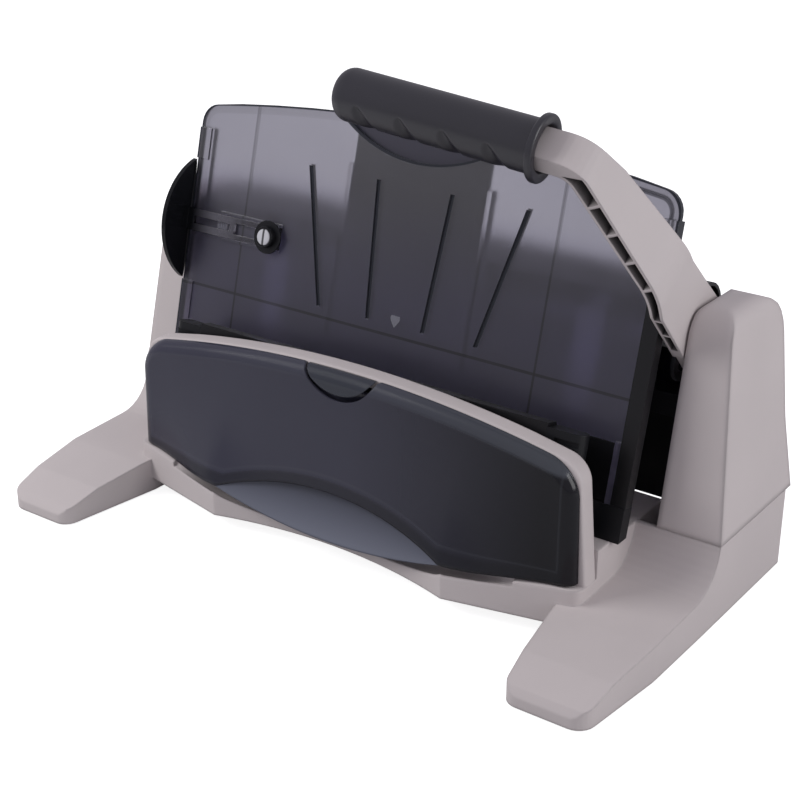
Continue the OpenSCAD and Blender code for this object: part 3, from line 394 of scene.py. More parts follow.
@dataclass(frozen=True)
class PanelSmoke(Smoked):
    """Smoke of the backrest, with painted shade in a band along its border and on lines along its outline, round cut
    and grooves, a black rail, moulded lines, arrow and scale ticks.
    """

    half_w: float = 0.163
    crown_z: float = 0.2395
    crown_drop: float = 0.0116
    corner_r: float = 0.012
    # Painted shade: a darker band inside the outline, and dark lines along the outline, the round cut and the grooves.
    border: float = 0.0055
    border_shade_tone: float = 0.7
    border_shade_share: float = 0.5
    inner_line: Span = (0.0006, 0.0004)
    inner_share: float = 0.7
    edge_line: Span = (0.0010, 0.0004)
    rail_x: float = 0.1540
    rail_top: float = 0.190
    line_x: Span = (-0.120, 0.095)
    line_z: float = 0.1215
    line_half: Span = (0.0006, 0.0007)
    line_tone: float = 0.35
    line_share: float = 0.9
    groove_z: Span = (0.1273, 0.2047)
    groove_half: float = 0.0014
    grooves: tuple[Span, ...] = ((0.0195, 0.0255), (0.0555, 0.0750))
    arrow_z: Span = (0.1262, 0.1330)
    arrow_rate: float = 0.75
    arrow_half: float = 0.0032
    ticks: tuple[float, ...] = (-0.1400, -0.1384, -0.1368, -0.1352, -0.1336)
    tick_z: float = 0.1594
    tick_half: Span = (0.0004, 0.0020)
    cut_z: float = 0.3079
    cut: Band = (0.0935, 0.0007, 0.0003)
    slope: float = 0.9668
    low_band: Band = (0.095, 0.045, 0.060)
    low_rgb: Vec = (0.238, 0.226, 0.335)
    shut: float = 0.85
    # Colour of the painted shade on the edge lines and grooves.
    painted_shade_rgb: Vec = (0.013, 0.015, 0.022)
    pale_rgb: Vec = (0.17, 0.17, 0.20)
    rail_rgb: Vec = (0.006, 0.006, 0.007)

    def from_edge(self, sh: Shader) -> Socket:
        """Gives the distance to the outline: to a side, to the crown that falls with the square of x, or to the arc
        between them, found as the arc's radius less the length of what is left of it in both directions.

        Args:
            sh: the material.

        Returns:
            The distance's socket, right up to the arc's radius.
        """
        x, z = sh.axis("X"), sh.axis("Z")
        side = sh.less(self.half_w, sh.sum_of("ABSOLUTE", x))
        fall = sh.times(sh.square(sh.sum_of("DIVIDE", x, self.half_w)), self.crown_drop)
        top = sh.less(sh.less(self.crown_z, fall), z)
        left = [sh.square(sh.most(sh.less(self.corner_r, d), 0.0)) for d in (side, top)]
        return sh.less(self.corner_r, sh.sum_of("SQRT", sh.sum_of("ADD", *left)))

    def marks(self, sh: Shader, colour: Socket, body: Node) -> Socket:
        """Tints the foot, paints shade inside the border and along outline, round cut and grooves, darkens the moulded
        lines, lightens arrow and ticks and blackens the right rail.

        A line is a band about one coordinate. A groove is a band about a middle that moves across with height. The
        arrow's half width grows with height from its tip.

        Args:
            sh: the material.
            colour: the tint so far.
            body: the main shader.

        Returns:
            The tint with its marks.
        """
        x, z = sh.axis("X"), sh.axis("Z")
        across, edge = sh.sum_of("ABSOLUTE", x), self.from_edge(sh)
        colour = sh.blend(sh.near(z, *self.low_band), colour, self.low_rgb)
        # Painted shade in a band inside the outline.
        border = sh.near(edge, 0.0, self.border)
        colour = sh.blend(border, colour, shade(self.rgb, self.border_shade_tone), self.border_shade_share)
        # Painted shade on a line at the inner edge of the border on the right, on the outline and on the round cut;
        # these lines also let less light through.
        inner = sh.times(sh.near(edge, self.border, *self.inner_line), sh.sum_of("GREATER_THAN", x, 0.0))
        shaded_lines = sh.most(sh.times(inner, self.inner_share), sh.near(edge, 0.0, *self.edge_line))
        rise = sh.sum_of("DIVIDE", sh.less(z, self.cut_z), self.slope)
        reach = sh.sum_of("SQRT", sh.sum_of("ADD", sh.square(x), sh.square(rise)))
        shaded_lines = sh.most(shaded_lines, sh.near(reach, *self.cut))
        lines = [sh.near(x, place, self.line_half[0]) for place in self.line_x]
        for line in (*lines, sh.near(z, self.line_z, self.line_half[1])):
            colour = sh.blend(line, colour, shade(self.rgb, self.line_tone), self.line_share)
        # Painted shade along each groove.
        low, high = self.groove_z
        inside = sh.near(z, (low + high) / 2, (high - low) / 2)
        for start, end in self.grooves:
            rate = (end - start) / (high - low)
            middle = sh.sum_of("MULTIPLY_ADD", z, rate, start - rate * low)
            shaded_lines = sh.most(shaded_lines, sh.times(sh.near(across, middle, self.groove_half), inside))
        tip, top = self.arrow_z
        width = sh.sum_of("MULTIPLY_ADD", z, self.arrow_rate, -self.arrow_rate * tip)
        head = sh.sum_of("LESS_THAN", across, sh.sum_of("MINIMUM", width, self.arrow_half))
        light = sh.times(head, sh.sum_of("LESS_THAN", z, top))
        for place in self.ticks:
            tick = sh.times(sh.near(x, place, self.tick_half[0]), sh.near(z, self.tick_z, self.tick_half[1]))
            light = sh.most(light, tick)
        rail = sh.times(sh.sum_of("GREATER_THAN", x, self.rail_x), sh.sum_of("LESS_THAN", z, self.rail_top))
        shut = sh.most(sh.most(rail, shaded_lines), light)
        clear = sh.sum_of("MULTIPLY_ADD", shut, -self.shut * self.clear, self.clear)
        sh.join(clear, body.inputs["Transmission Weight"])
        # Painted shade on the lines of the outline, the round cut and the grooves.
        colour = sh.blend(shaded_lines, colour, self.painted_shade_rgb)
        colour = sh.blend(light, colour, self.pale_rgb)
        return sh.blend(rail, colour, self.rail_rgb)


@dataclass(frozen=True)
class DoorSmoke(Smoked):
    """Smoke of the door, with painted shade at its far end and in a band inside its sides and lower edge, a painted
    sheen below its crown and a painted highlight line inside that band.
    """

    half_w: float = 0.154
    crown_z: float = 0.116
    crown_fall: float = 0.714
    arc_z: float = 0.046
    arc_fall: float = 2.58
    corner_z: float = 0.031
    # Painted light: the band along the edges and the far end are painted shade, the band below the crown a painted
    # sheen, the line a painted highlight.
    band: Span = (0.0055, 0.0022)
    rim_shade_tone: float = 0.15
    rim_shade_share: float = 0.6
    line: Band = (0.0090, 0.0003, 0.0006)
    line_share: float = 0.12
    far_shade: Band = (0.150, 0.015, 0.125)
    far_shade_tone: float = 0.14
    painted_light_rgb: Vec = (0.115, 0.126, 0.148)
    sheen_fade: float = 0.26
    sheen_share: float = 0.6

    def arch(self, sh: Shader, peak: float, fall: float) -> Socket:
        """Gives the height of an arch that falls from its peak with the square of x."""
        return sh.less(peak, sh.times(sh.square(sh.axis("X")), fall))

    def marks(self, sh: Shader, colour: Socket, body: Node) -> Socket:
        """Paints shade on the far end and on a band along sides, hollow and lower edge, a sheen on a band below the
        crown and a highlight line inside the lower band.

        Each band is about the distance to its edge: half the width less the size of x, the height above the larger
        of hollow and corner, or the crown less the height.

        Args:
            sh: the material.
            colour: the tint so far.
            body: the main shader; not used here.

        Returns:
            The tint with its bands.
        """
        x, z = sh.axis("X"), sh.axis("Z")
        side = sh.less(self.half_w, sh.sum_of("ABSOLUTE", x))
        low = sh.most(self.arch(sh, self.arc_z, self.arc_fall), self.corner_z)
        rim = sh.sum_of("MINIMUM", side, sh.less(z, low))
        top = sh.less(self.arch(sh, self.crown_z, self.crown_fall), z)
        # Painted shade on the far end, where less light falls.
        colour = sh.blend(sh.near(x, *self.far_shade), colour, shade(self.rgb, self.far_shade_tone))
        # Painted sheen below the crown, fading towards the near end.
        under = sh.times(sh.near(top, 0.0, *self.band), sh.near(x, self.far_shade[0], 0.0, self.sheen_fade))
        colour = sh.blend(under, colour, self.painted_light_rgb, self.sheen_share)
        # Painted shade in the band along the edges, then a painted highlight line inside it.
        colour = sh.blend(sh.near(rim, 0.0, *self.band), colour, shade(self.rgb, self.rim_shade_tone), self.rim_shade_share)
        return sh.blend(sh.near(rim, *self.line), colour, self.painted_light_rgb, self.line_share)


@dataclass(frozen=True)
class GuideSmoke(Smoked):
    """Smoke of the side guide: a black ear, and a tongue that clears away from it."""

    ear: Band = (-0.170, 0.010, 0.040)
    black: Vec = (0.006, 0.0065, 0.008)

    def marks(self, sh: Shader, colour: Socket, body: Node) -> Socket:
        """Blackens the ear and closes it to light, over a soft band along the tongue.

        Args:
            sh: the material.
            colour: the tint so far.
            body: the main shader.

        Returns:
            The tint with the ear.
        """
        ear = sh.near(sh.axis("X"), *self.ear)
        sh.join(sh.times(sh.less(1.0, ear), self.clear), body.inputs["Transmission Weight"])
        return sh.blend(ear, colour, self.black)


@dataclass(frozen=True)
class ScoopSmoke(Smoked):
    """Frosted smoke of the finger hollow, with painted light that makes it paler towards the chin."""

    chin: Band = (0.016, 0.0, 0.030)
    # Painted light: the colour the hollow takes near the chin.
    painted_light_rgb: Vec = (0.185, 0.198, 0.250)

    def marks(self, sh: Shader, colour: Socket, body: Node) -> Socket:
        """Paints light: blends to a paler colour over a soft band that falls off with height."""
        return sh.blend(sh.near(sh.axis("Z"), *self.chin), colour, self.painted_light_rgb)


@dataclass(frozen=True)
class Metal:
    """Ground metal with fine lines along one axis."""

    rgb: Vec
    rough: float
    lines: Vec
    edge: float
    patchy: float = 0.07
    brush: float = 40.0
    depth: float = 0.00001
    tones: Span = (0.88, 1.08)

    def build(self, name: str) -> bpy.types.Material:
        """Makes the material.

        Args:
            name: the material's name.

        Returns:
            The material.
        """
        sh = Shader(name)
        body = sh.add("ShaderNodeBsdfPrincipled", Metallic=1.0)
        brush = sh.noise(self.brush, 3.0, self.lines)
        dark, light = (shade(self.rgb, tone) for tone in self.tones)
        sh.join(sh.tint(brush, dark, light), body.inputs["Base Color"])
        sh.join(sh.spread(brush, self.rough, self.patchy), body.inputs["Roughness"])
        sh.join(sh.relief(brush, self.depth, self.edge), body.inputs["Normal"])
        return sh.close(body.outputs["BSDF"])


Finish = Moulded | Smoked | Metal
PUTTY_RGB: Vec = (0.52, 0.475, 0.47)
TOWER = Moulded(PUTTY_RGB, 0.55, 2600.0, 0.00003, 0.006, 0.025)
FINISHES: dict[Slot, Finish] = {
    Slot.PUTTY: Moulded(PUTTY_RGB, 0.55, 2600.0, 0.00003, 0.0022, 0.025),
    Slot.SMOKE: Smoked((0.255, 0.25, 0.285), 0.24, 0.0006, 0.94),
    Slot.BLACK: Moulded((0.006, 0.0065, 0.008), 0.45, 2200.0, 0.00003, 0.0006, shine=0.3),
    Slot.WHITE: Moulded((0.62, 0.62, 0.63), 0.4, 2200.0, 0.00002, 0.0004, 0.02),
    Slot.BLACK_STEEL: Moulded((0.006, 0.006, 0.007), 0.35, 1500.0, 0.00002, 0.0008, shine=0.3),
    Slot.PUTTY_PAINT: Moulded(PUTTY_RGB, 0.45, 900.0, 0.00002, 0.0008, 0.02),
    Slot.STEEL: Metal((0.55, 0.55, 0.56), 0.32, (1.0, 30.0, 30.0), 0.0004),
    Slot.BRASS: Metal((0.62, 0.43, 0.16), 0.28, (30.0, 1.0, 30.0), 0.0004),
    Slot.GRIP: Moulded((0.016, 0.0155, 0.0215), 0.36, 3000.0, 0.00003, 0.0006, 0.08, shine=0.75),
    Slot.RUBBER: Moulded((0.02, 0.02, 0.02), 0.8, 1800.0, 0.00004, 0.0008),
}
SPECIAL: dict[str, Finish] = {
    "backrest_panel": PanelSmoke((0.244, 0.237, 0.280), 0.315, 0.0006, 0.91),
    "front_door": DoorSmoke((0.050, 0.050, 0.075), 0.15, 0.0006, 0.3, 0.26),
    "door_scoop": ScoopSmoke((0.060, 0.064, 0.088), 0.32, 0.0006, 0.25, 0.3),
    "door_latch": Smoked((0.047, 0.052, 0.068), 0.15, 0.0006, 0.3, 0.26),
    "side_guide": GuideSmoke((0.27, 0.26, 0.31), 0.22, 0.0004, 0.97, 0.2),
    "paper_support": Smoked((0.046, 0.044, 0.062), 0.32, 0.0006, 0.3, 0.25),
    "knob_face": SlottedWhite((0.50, 0.50, 0.53), 0.4, 2200.0, 0.00002, 0.0004, 0.02),
    # The arm's channel gets painted shade in its hollows, at a strength of 1.3.
    "lever_arm": Moulded(PUTTY_RGB, 0.55, 2600.0, 0.00003, 0.0012, 0.025, 1.3),
    "right_tower_cover": TOWER,
    "left_tower_cover": TOWER,
    # The tie beam is dressed near black instead of in its putty paint: painted shade for the dark gap it sits in.
    "tie_beam": Moulded((0.010, 0.010, 0.011), 0.5, 1500.0, 0.00002, 0.0008, shine=0.3),
}


class Palette:
    """Builds each finish once and puts it on pieces."""

    def __init__(self) -> None:
        """Builds all the finishes."""
        self.made = {slot: finish.build(slot.value) for slot, finish in FINISHES.items()}
        self.own = {node: finish.build(node) for node, finish in SPECIAL.items()}

    def dress(self, obj: bpy.types.Object, slot: Slot, finish: str) -> None:
        """Gives an object the finish of that name, or its slot's where the name is empty."""
        obj.data.materials.clear()
        obj.data.materials.append(self.own[finish] if finish else self.made[slot])

    def dress_nodes(self) -> None:
        """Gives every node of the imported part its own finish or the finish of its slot."""
        for entry in frame["record"]["subparts"]:
            own = entry["node"] if entry["node"] in self.own else ""
            self.dress(frame["nodes"][entry["node"]], Slot(entry["material_slot"]), own)
            log.info("node %s: %s", entry["node"], entry["material_slot"])


@dataclass
class Patch:
    """A grid of points in millimetres, one row per step of the first parameter."""

    points: np.ndarray
    wrap_rows: bool = False
    wrap_cols: bool = False

    def quads(self, start: int) -> np.ndarray:
        """Joins each point to its neighbours in the next row and column, turned so that the faces look outward.

        The volume, as the sum of each face's area vector times its way from the middle, is positive for such faces.

        Args:
            start: index of the grid's first point in the mesh.

        Returns:
            The corner indices, four to a face.
        """
        rows, cols = self.points.shape[:2]
        steps = [np.arange(count - (not wrap)) for count, wrap in ((rows, self.wrap_rows), (cols, self.wrap_cols))]
        i, j = np.meshgrid(*steps, indexing="ij")
        down, right = (i + 1) % rows, (j + 1) % cols
        quads = np.stack([i * cols + j, down * cols + j, down * cols + right, i * cols + right], -1).reshape(-1, 4)
        a, b, c, d = (self.points.reshape(-1, 3)[quads[:, k]] for k in range(4))
        out = (a + b + c + d) / 4 - self.points.reshape(-1, 3).mean(0)
        volume = float((out * np.cross(c - a, d - b)).sum())
        return start + (quads if volume > 0 else quads[:, ::-1])


def make_piece(name: str, patches: list[Patch], body: str, slot: Slot, palette: Palette,
               finish: str = "") -> bpy.types.Object:
    """Puts grids into one smooth mesh that rides on a body.

    Args:
        name: the piece's name.
        patches: its grids.
        body: the body that it rides on.
        slot: its material slot.
        palette: the finishes.
        finish: name of a finish of its own, if it has one.

    Returns:
        The new object.
    """
    starts = np.cumsum([0] + [p.points.shape[0] * p.points.shape[1] for p in patches])
    points = np.concatenate([p.points.reshape(-1, 3) for p in patches]) * MM
    faces = np.concatenate([p.quads(int(n)) for p, n in zip(patches, starts)])
    mesh = bpy.data.meshes.new(name)
    mesh.from_pydata(points.tolist(), [], faces.tolist())
    mesh.polygons.foreach_set("use_smooth", np.ones(len(mesh.polygons), dtype=bool))
    mesh.update()
    obj = bpy.data.objects.new(name, mesh)
    bpy.context.scene.collection.objects.link(obj)
    palette.dress(obj, slot, finish)
    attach(obj, body)
    log.info("piece %s: %d faces on %s", name, len(faces), body)
    return obj


def squared(wave: np.ndarray, power: float) -> np.ndarray:
    """Squares up an ellipse: the sine or cosine keeps its sign, and its size is raised to a power below 1."""
    return np.sign(wave) * np.abs(wave) ** power


def lean(x: np.ndarray, back: np.ndarray, along: np.ndarray, foot: Span, degrees: float) -> np.ndarray:
    """Turns points across, to the rear of and along a piece into the part's frame, by its forward lean at its foot."""
    c, s = math.cos(math.radians(degrees)), math.sin(math.radians(degrees))
    return np.stack([x, foot[0] + back * c - along * s, foot[1] + back * s + along * c], -1)


def turn_corner(before: np.ndarray, at: np.ndarray, after: np.ndarray, radius: float, steps: int) -> np.ndarray:
    """Rounds a corner of a path: an arc that touches both of its straight sides.

    Args:
        before: a point on the side that comes in.
        at: the corner.
        after: a point on the side that goes out.
        radius: the arc's radius.
        steps: number of points.

    Returns:
        The arc's points, from the first side to the second.
    """
    u, w = before - at, after - at
    u, w = u / np.linalg.norm(u), w / np.linalg.norm(w)
    half = math.acos(float(u @ w)) / 2
    centre = at + (u + w) / np.linalg.norm(u + w) * radius / math.sin(half)
    first = at + u * radius / math.tan(half) - centre
    last = at + w * radius / math.tan(half) - centre
    a0 = math.atan2(first[1], first[0])
    sweep = (math.atan2(last[1], last[0]) - a0 + 3 * math.pi) % FULL - math.pi
    angle = a0 + sweep * np.linspace(0, 1, steps)
    return centre + radius * np.stack([np.cos(angle), np.sin(angle)], -1)


@dataclass
class Lever:
    """The lever's soft grip, in the frame of the shaft: across, to the rear and along the lever."""

    palette: Palette
    shaft: Span = (69.0, 138.0)
    rest: float = 37.5
    base_x: float = 116.0
    reach: float = 151.0
    slope: float = 8.7
    radius: float = 14.0
    length: float = 117.0
    end_round: float = 8.0
    collar_r: float = 17.5
    collar_half: float = 2.0
    collar_clear: float = 2.0
    hollow_r: float = 12.4
    lip_round: float = 1.2
    foot_round: float = 1.5
    rows: int = 180
    sides: int = 144
    scallops: int = 4
    first: float = 20.0
    pitch: float = 25.0
    scallop_half: float = 5.6
    scallop_deep: float = 2.4
    scallop_turn: float = 100.0
    scallop_span: float = 46.0
    scallop_lean: float = 4.0

    def profile(self) -> np.ndarray:
        """Gives the grip's outline as distance along and radius: hollow, lip, body and a round end.

        Returns:
            The points of the outline.
        """
        arc = np.linspace(0, QUARTER, 12)
        h, r, e, k, f = self.collar_half, self.radius, self.end_round, self.lip_round, self.foot_round
        lip = self.collar_r - k
        corner_a = np.stack([-h + k - k * np.cos(arc), lip + k * np.sin(arc)], -1)
        corner_b = np.stack([h - k + k * np.sin(arc), lip + k * np.cos(arc)], -1)
        foot = np.stack([h + f - f * np.cos(arc), r + f - f * np.sin(arc)], -1)
        body = np.stack([np.linspace(h + f + 0.1, self.length - e, self.rows), np.full(self.rows, r)], -1)
        end = np.stack([self.length - e + e * np.sin(arc), r - e + e * np.cos(arc)], -1)
        hollow = np.array([[h, ON_AXIS], [h, self.hollow_r - 0.4], [h - 0.4, self.hollow_r], [-h + 0.5, self.hollow_r],
                           [-h, self.hollow_r + 0.5], [-h, lip - 0.2]])
        return np.concatenate([hollow, corner_a, corner_b, foot, body, end[1:], [[self.length, ON_AXIS]]])

    def grip(self) -> None:
        """Builds the grip: its outline turned about the axis, less four oval hollows under the fingers.

        A hollow's half width is the root of one minus the square of the turn from its middle, as in an ellipse, and its
        depth is that root times the square of one minus the square of the place across it.
        """
        outline = self.profile()
        turn = np.linspace(0, FULL, self.sides, endpoint=False)
        along, angle = np.meshgrid(outline[:, 0], turn, indexing="ij")
        radius = np.repeat(outline[:, 1:], len(turn), axis=1)
        off = (np.degrees(angle) - self.scallop_turn + 180) % 360 - 180
        share = np.clip(1 - (off / self.scallop_span) ** 2, 0, 1)
        middles = self.first + self.pitch * np.arange(self.scallops)
        across = (along[..., None] - middles + self.scallop_lean * (off / self.scallop_span)[..., None])
        across = across / (self.scallop_half * np.sqrt(np.maximum(share, 1e-4)))[..., None]
        dip = (np.sqrt(share)[..., None] * np.clip(1 - across**2, 0, 1) ** 2).sum(-1)
        radius = np.where(along > self.collar_half + self.collar_clear, radius - self.scallop_deep * dip, radius)
        c, s = math.cos(math.radians(self.slope)), math.sin(math.radians(self.slope))
        up = radius * np.cos(angle)
        x = self.base_x - along * c + up * s
        r = self.reach + along * s + up * c
        grip = Patch(lean(x, -radius * np.sin(angle), r, self.shaft, self.rest), wrap_cols=True)
        piece = make_piece("soft_grip", [grip], "lever", Slot.GRIP, self.palette)
        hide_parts("lever_grip")


@dataclass
class Rim:
    """The front housing: a rounded bar carried along the arch around the door."""

    palette: Palette
    half_w: float = 158.0
    top_z: float = 116.5
    drop: float = 16.5
    low_z: float = 31.5
    lean: float = 6.0
    shoulder: float = 16.0
    flat: float = 40.0
    thick: float = 7.0
    front_y: float = -34.0
    depth: float = 12.0
    power: float = 6.0
    leg_steps: int = 12
    arc_steps: int = 24
    crown_steps: int = 30
    sides: int = 64

    def crown(self, x: np.ndarray | float) -> np.ndarray | float:
        """Gives the height of the top, which falls with the square of x."""
        return self.top_z - self.drop * (x / (self.half_w - self.lean)) ** 2

    def path(self) -> np.ndarray:
        """Gives the arch's outer line: leaning leg, shoulder arc, a crown that falls with the square of x, mirrored.

        Returns:
            The points across and up, from the right foot to the left.
        """
        bend_x, flat_x = self.half_w - self.lean, self.half_w - self.flat
        foot = np.array([self.half_w, self.low_z])
        bend = np.array([bend_x, self.crown(bend_x)])
        inner = np.array([flat_x, self.crown(flat_x)])
        arc = turn_corner(foot, bend, inner, self.shoulder, self.arc_steps)
        leg = foot + (arc[0] - foot) * np.linspace(0, 1, self.leg_steps, endpoint=False)[:, None]
        x = np.linspace(flat_x, 0, self.crown_steps)
        right = np.concatenate([leg, arc, np.stack([x, self.crown(x)], -1)])
        return np.concatenate([right, right[-2::-1] * [-1, 1]])

    def build(self) -> None:
        """Builds the bar: a squared ellipse across it, set in from the arch along the arch's normal."""
        line = self.path()
        run = np.gradient(line, axis=0)
        run /= np.linalg.norm(run, axis=1, keepdims=True)
        inward = np.stack([-run[:, 1], run[:, 0]], -1)
        turn = np.linspace(0, FULL, self.sides, endpoint=False)
        inset = self.thick / 2 * (1 - squared(np.cos(turn), 2 / self.power))
        y = self.front_y + self.depth / 2 * (1 + squared(np.sin(turn), 2 / self.power))
        flat = line[:, None] + inset[None, :, None] * inward[:, None]
        points = np.stack([flat[..., 0], np.broadcast_to(y, flat.shape[:2]), flat[..., 1]], -1)
        piece = make_piece("housing_rim", [Patch(points, wrap_cols=True)], "frame", Slot.PUTTY, self.palette)
        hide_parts("front_housing")


@dataclass
class Door:
    """The smoke door: a rounded shell with a forward chin, a hollow for the fingers and a tab at its crown."""

    palette: Palette
    half_w: float = 154.0
    lean: float = 2.5
    corner_z: float = 33.0
    top_z: float = 116.0
    drop: float = 16.5
    drop_x: float = 152.0
    shoulder: float = 18.0
    face_y: float = -41.2
    back_y: float = -34.4
    wall: float = 2.5
    edge_round: float = 8.0
    sweep_z: float = 105.0
    sweep_power: float = 1.6
    chin_out: float = 15.8
    chin_x: float = 80.0
    chin_end_z: float = 29.5
    chin_low_z: float = 19.0
    scoop_z: float = 46.0
    scoop_step: float = 4.5
    latch_half: float = 26.0
    latch_z: float = 99.5
    latch_gap: float = 3.4
    tab_side: float = 2.2
    tab_down: float = 0.2
    tab_least: float = 0.1
    thin: float = 1.8
    scoop_power: float = 1.4
    # A smoke sheet behind the gap under the tab, as painted shade: its overlap, its low and top ends, how far it stands
    # back and its thickness.
    shade_sheet_over: float = 1.0
    shade_sheet_low: float = 4.0
    shade_sheet_top: float = 9.0
    shade_sheet_in: float = 1.2
    shade_sheet_wall: float = 1.0
    columns: int = 281
    rows: int = 64

    def crown(self, x: np.ndarray) -> np.ndarray:
        """Gives the height of the top edge, which falls with the square of x."""
        return self.top_z - self.drop * (x / self.drop_x) ** 2

    def low(self, x: np.ndarray) -> np.ndarray:
        """Gives the height of the lower edge: a dip with the square of x below the chin, then a line to the corner.

        Args:
            x: across.

        Returns:
            The height at each point.
        """
        share = np.abs(x) / self.chin_x
        rise = (self.corner_z - self.chin_end_z) * (np.abs(x) - self.chin_x) / (self.half_w - self.chin_x)
        dip = self.chin_low_z + (self.chin_end_z - self.chin_low_z) * share**2
        return np.where(share < 1, dip, self.chin_end_z + rise)

    def arc(self, x: np.ndarray) -> np.ndarray:
        """Gives the height of the finger hollow's upper edge, which falls with the square of x to the chin's ends."""
        return self.scoop_z - (self.scoop_z - self.chin_end_z) * (x / self.chin_x) ** 2

    def tab_arc(self, x: np.ndarray) -> np.ndarray:
        """Gives the height of the round cut below the tab: a circle through its lowest point and both ends.

        Args:
            x: across.

        Returns:
            The height at each point.
        """
        deep = float(self.crown(np.array(self.latch_half))) - self.latch_z
        radius = (self.latch_half**2 + deep**2) / (2 * deep)
        return self.latch_z + radius - np.sqrt(np.clip(radius**2 - x**2, 0, None))

    def half_at(self, z: np.ndarray) -> np.ndarray:
        """Gives half the width at a height, which shrinks evenly from the lower corners up by the lean."""
        return self.half_w - self.lean * (z - self.corner_z) / (self.top_z - self.corner_z)

    def face(self, x: np.ndarray, z: np.ndarray, side: np.ndarray | float) -> np.ndarray:
        """Gives the depth of the front face.

        The face leans forward with a power of the share of the way down to the lower edge, by an amount that is full
        along the chin and fades smoothly to the corners. Near the outline it turns back along a quarter ellipse of the
        distance to the edge.

        Args:
            x: across.
            z: up.
            side: distance to the nearer side.

        Returns:
            The depth at each point.
        """
        down = np.clip((self.sweep_z - z) / (self.sweep_z - self.low(x)), 0, 1)
        share = np.clip((self.half_w - np.abs(x)) / (self.half_w - self.chin_x), 0, 1)
        y = self.face_y - self.chin_out * share**2 * (3 - 2 * share) * down**self.sweep_power
        r = self.shoulder
        away = r - np.hypot(np.maximum(r - side, 0), np.maximum(r - (self.crown(x) - z), 0))
        back = 1 - np.sqrt(1 - (1 - np.clip(away / self.edge_round, 0, 1)) ** 2)
        return y + (self.back_y - y) * back

    def sheet(self, x: np.ndarray, y: np.ndarray | float, z: np.ndarray, wall: float) -> Patch:
        """Closes a face into a thin sheet: the face, then the same face set back, in one loop of rows.

        Args:
            x: across.
            y: depth of the face.
            z: up.
            wall: the sheet's thickness.

        Returns:
            The closed grid.
        """
        x, y, z = np.broadcast_arrays(x, y, z)
        front = np.stack([x, y, z], -1)
        rear = np.stack([x, np.minimum(y + wall, self.back_y), z], -1)
        return Patch(np.concatenate([front, rear[::-1]]), wrap_rows=True)

    def build(self) -> None:
        """Builds shell, a smoke sheet that stands in for shade behind the gap under the tab, finger hollow and tab as
        grids of columns across and rows up.
        """
        share = np.sin(np.linspace(-QUARTER, QUARTER, self.columns))
        rows = np.sin(np.linspace(0, QUARTER, self.rows))[:, None]
        wide = self.half_w - self.lean
        left = np.maximum(self.shoulder - wide * (1 - np.abs(share)), 0)
        top = self.crown(wide * share) - self.shoulder + np.sqrt(self.shoulder**2 - left**2)
        x0 = self.half_w * share
        top = np.where(np.abs(x0) < self.latch_half, np.minimum(top, self.tab_arc(x0)), top)
        low = np.where(np.abs(x0) < self.chin_x, self.arc(x0), self.low(x0))
        z = low + (top - low) * rows
        half = self.half_at(z)
        x = share * half
        shell = self.sheet(x, self.face(x, z, half - np.abs(x)), z, self.wall)
        # Painted shade: a smoke sheet set behind the gap under the tab darkens it.
        reach = self.latch_half + self.shade_sheet_over
        u = np.linspace(-reach, reach, 41)
        floor_z = np.linspace(self.latch_z - self.shade_sheet_low, self.crown(u) - self.shade_sheet_top, 8)
        floor = self.sheet(u, self.back_y - self.shade_sheet_in, floor_z, self.shade_sheet_wall)
        door = make_piece("door_shell", [shell, floor], "door", Slot.SMOKE, self.palette, "front_door")
        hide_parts("front_door")
        self.hollow()
        self.tab()

    def hollow(self) -> None:
        """Builds the finger hollow: from a step behind the face at its upper edge, forward to the chin's edge."""
        x = np.linspace(-self.chin_x, self.chin_x, 121)
        down = np.linspace(0, 1, 24)[:, None]
        high, low = self.arc(x), self.low(x)
        z = high + (low - high) * down
        start = self.face(x, high, self.shoulder) + self.scoop_step * (1 - (x / self.chin_x) ** 2)
        end = self.face(x, low, self.shoulder)
        y = start + (end - start) * down**self.scoop_power
        sheet = self.sheet(x, y, z, self.thin)
        make_piece("door_scoop", [sheet], "door", Slot.SMOKE, self.palette, "door_scoop")

    def tab(self) -> None:
        """Builds the tab: the door's own face between the round cut, raised by the gap, and the crown."""
        x = np.linspace(-1, 1, 61) * (self.latch_half - self.tab_side)
        top = self.crown(x * (1 - self.lean / self.half_w)) - self.tab_down
        low = np.minimum(self.tab_arc(x) + self.latch_gap, top - self.tab_least)
        z = low + (top - low) * np.sin(np.linspace(0, QUARTER, 24))[:, None]
        x = x * self.half_at(z) / self.half_w
        tab = self.sheet(x, self.face(x, z, self.shoulder), z, self.thin)
        piece = make_piece("latch_tab", [tab], "latch", Slot.SMOKE, self.palette, "door_latch")
        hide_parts("door_latch")


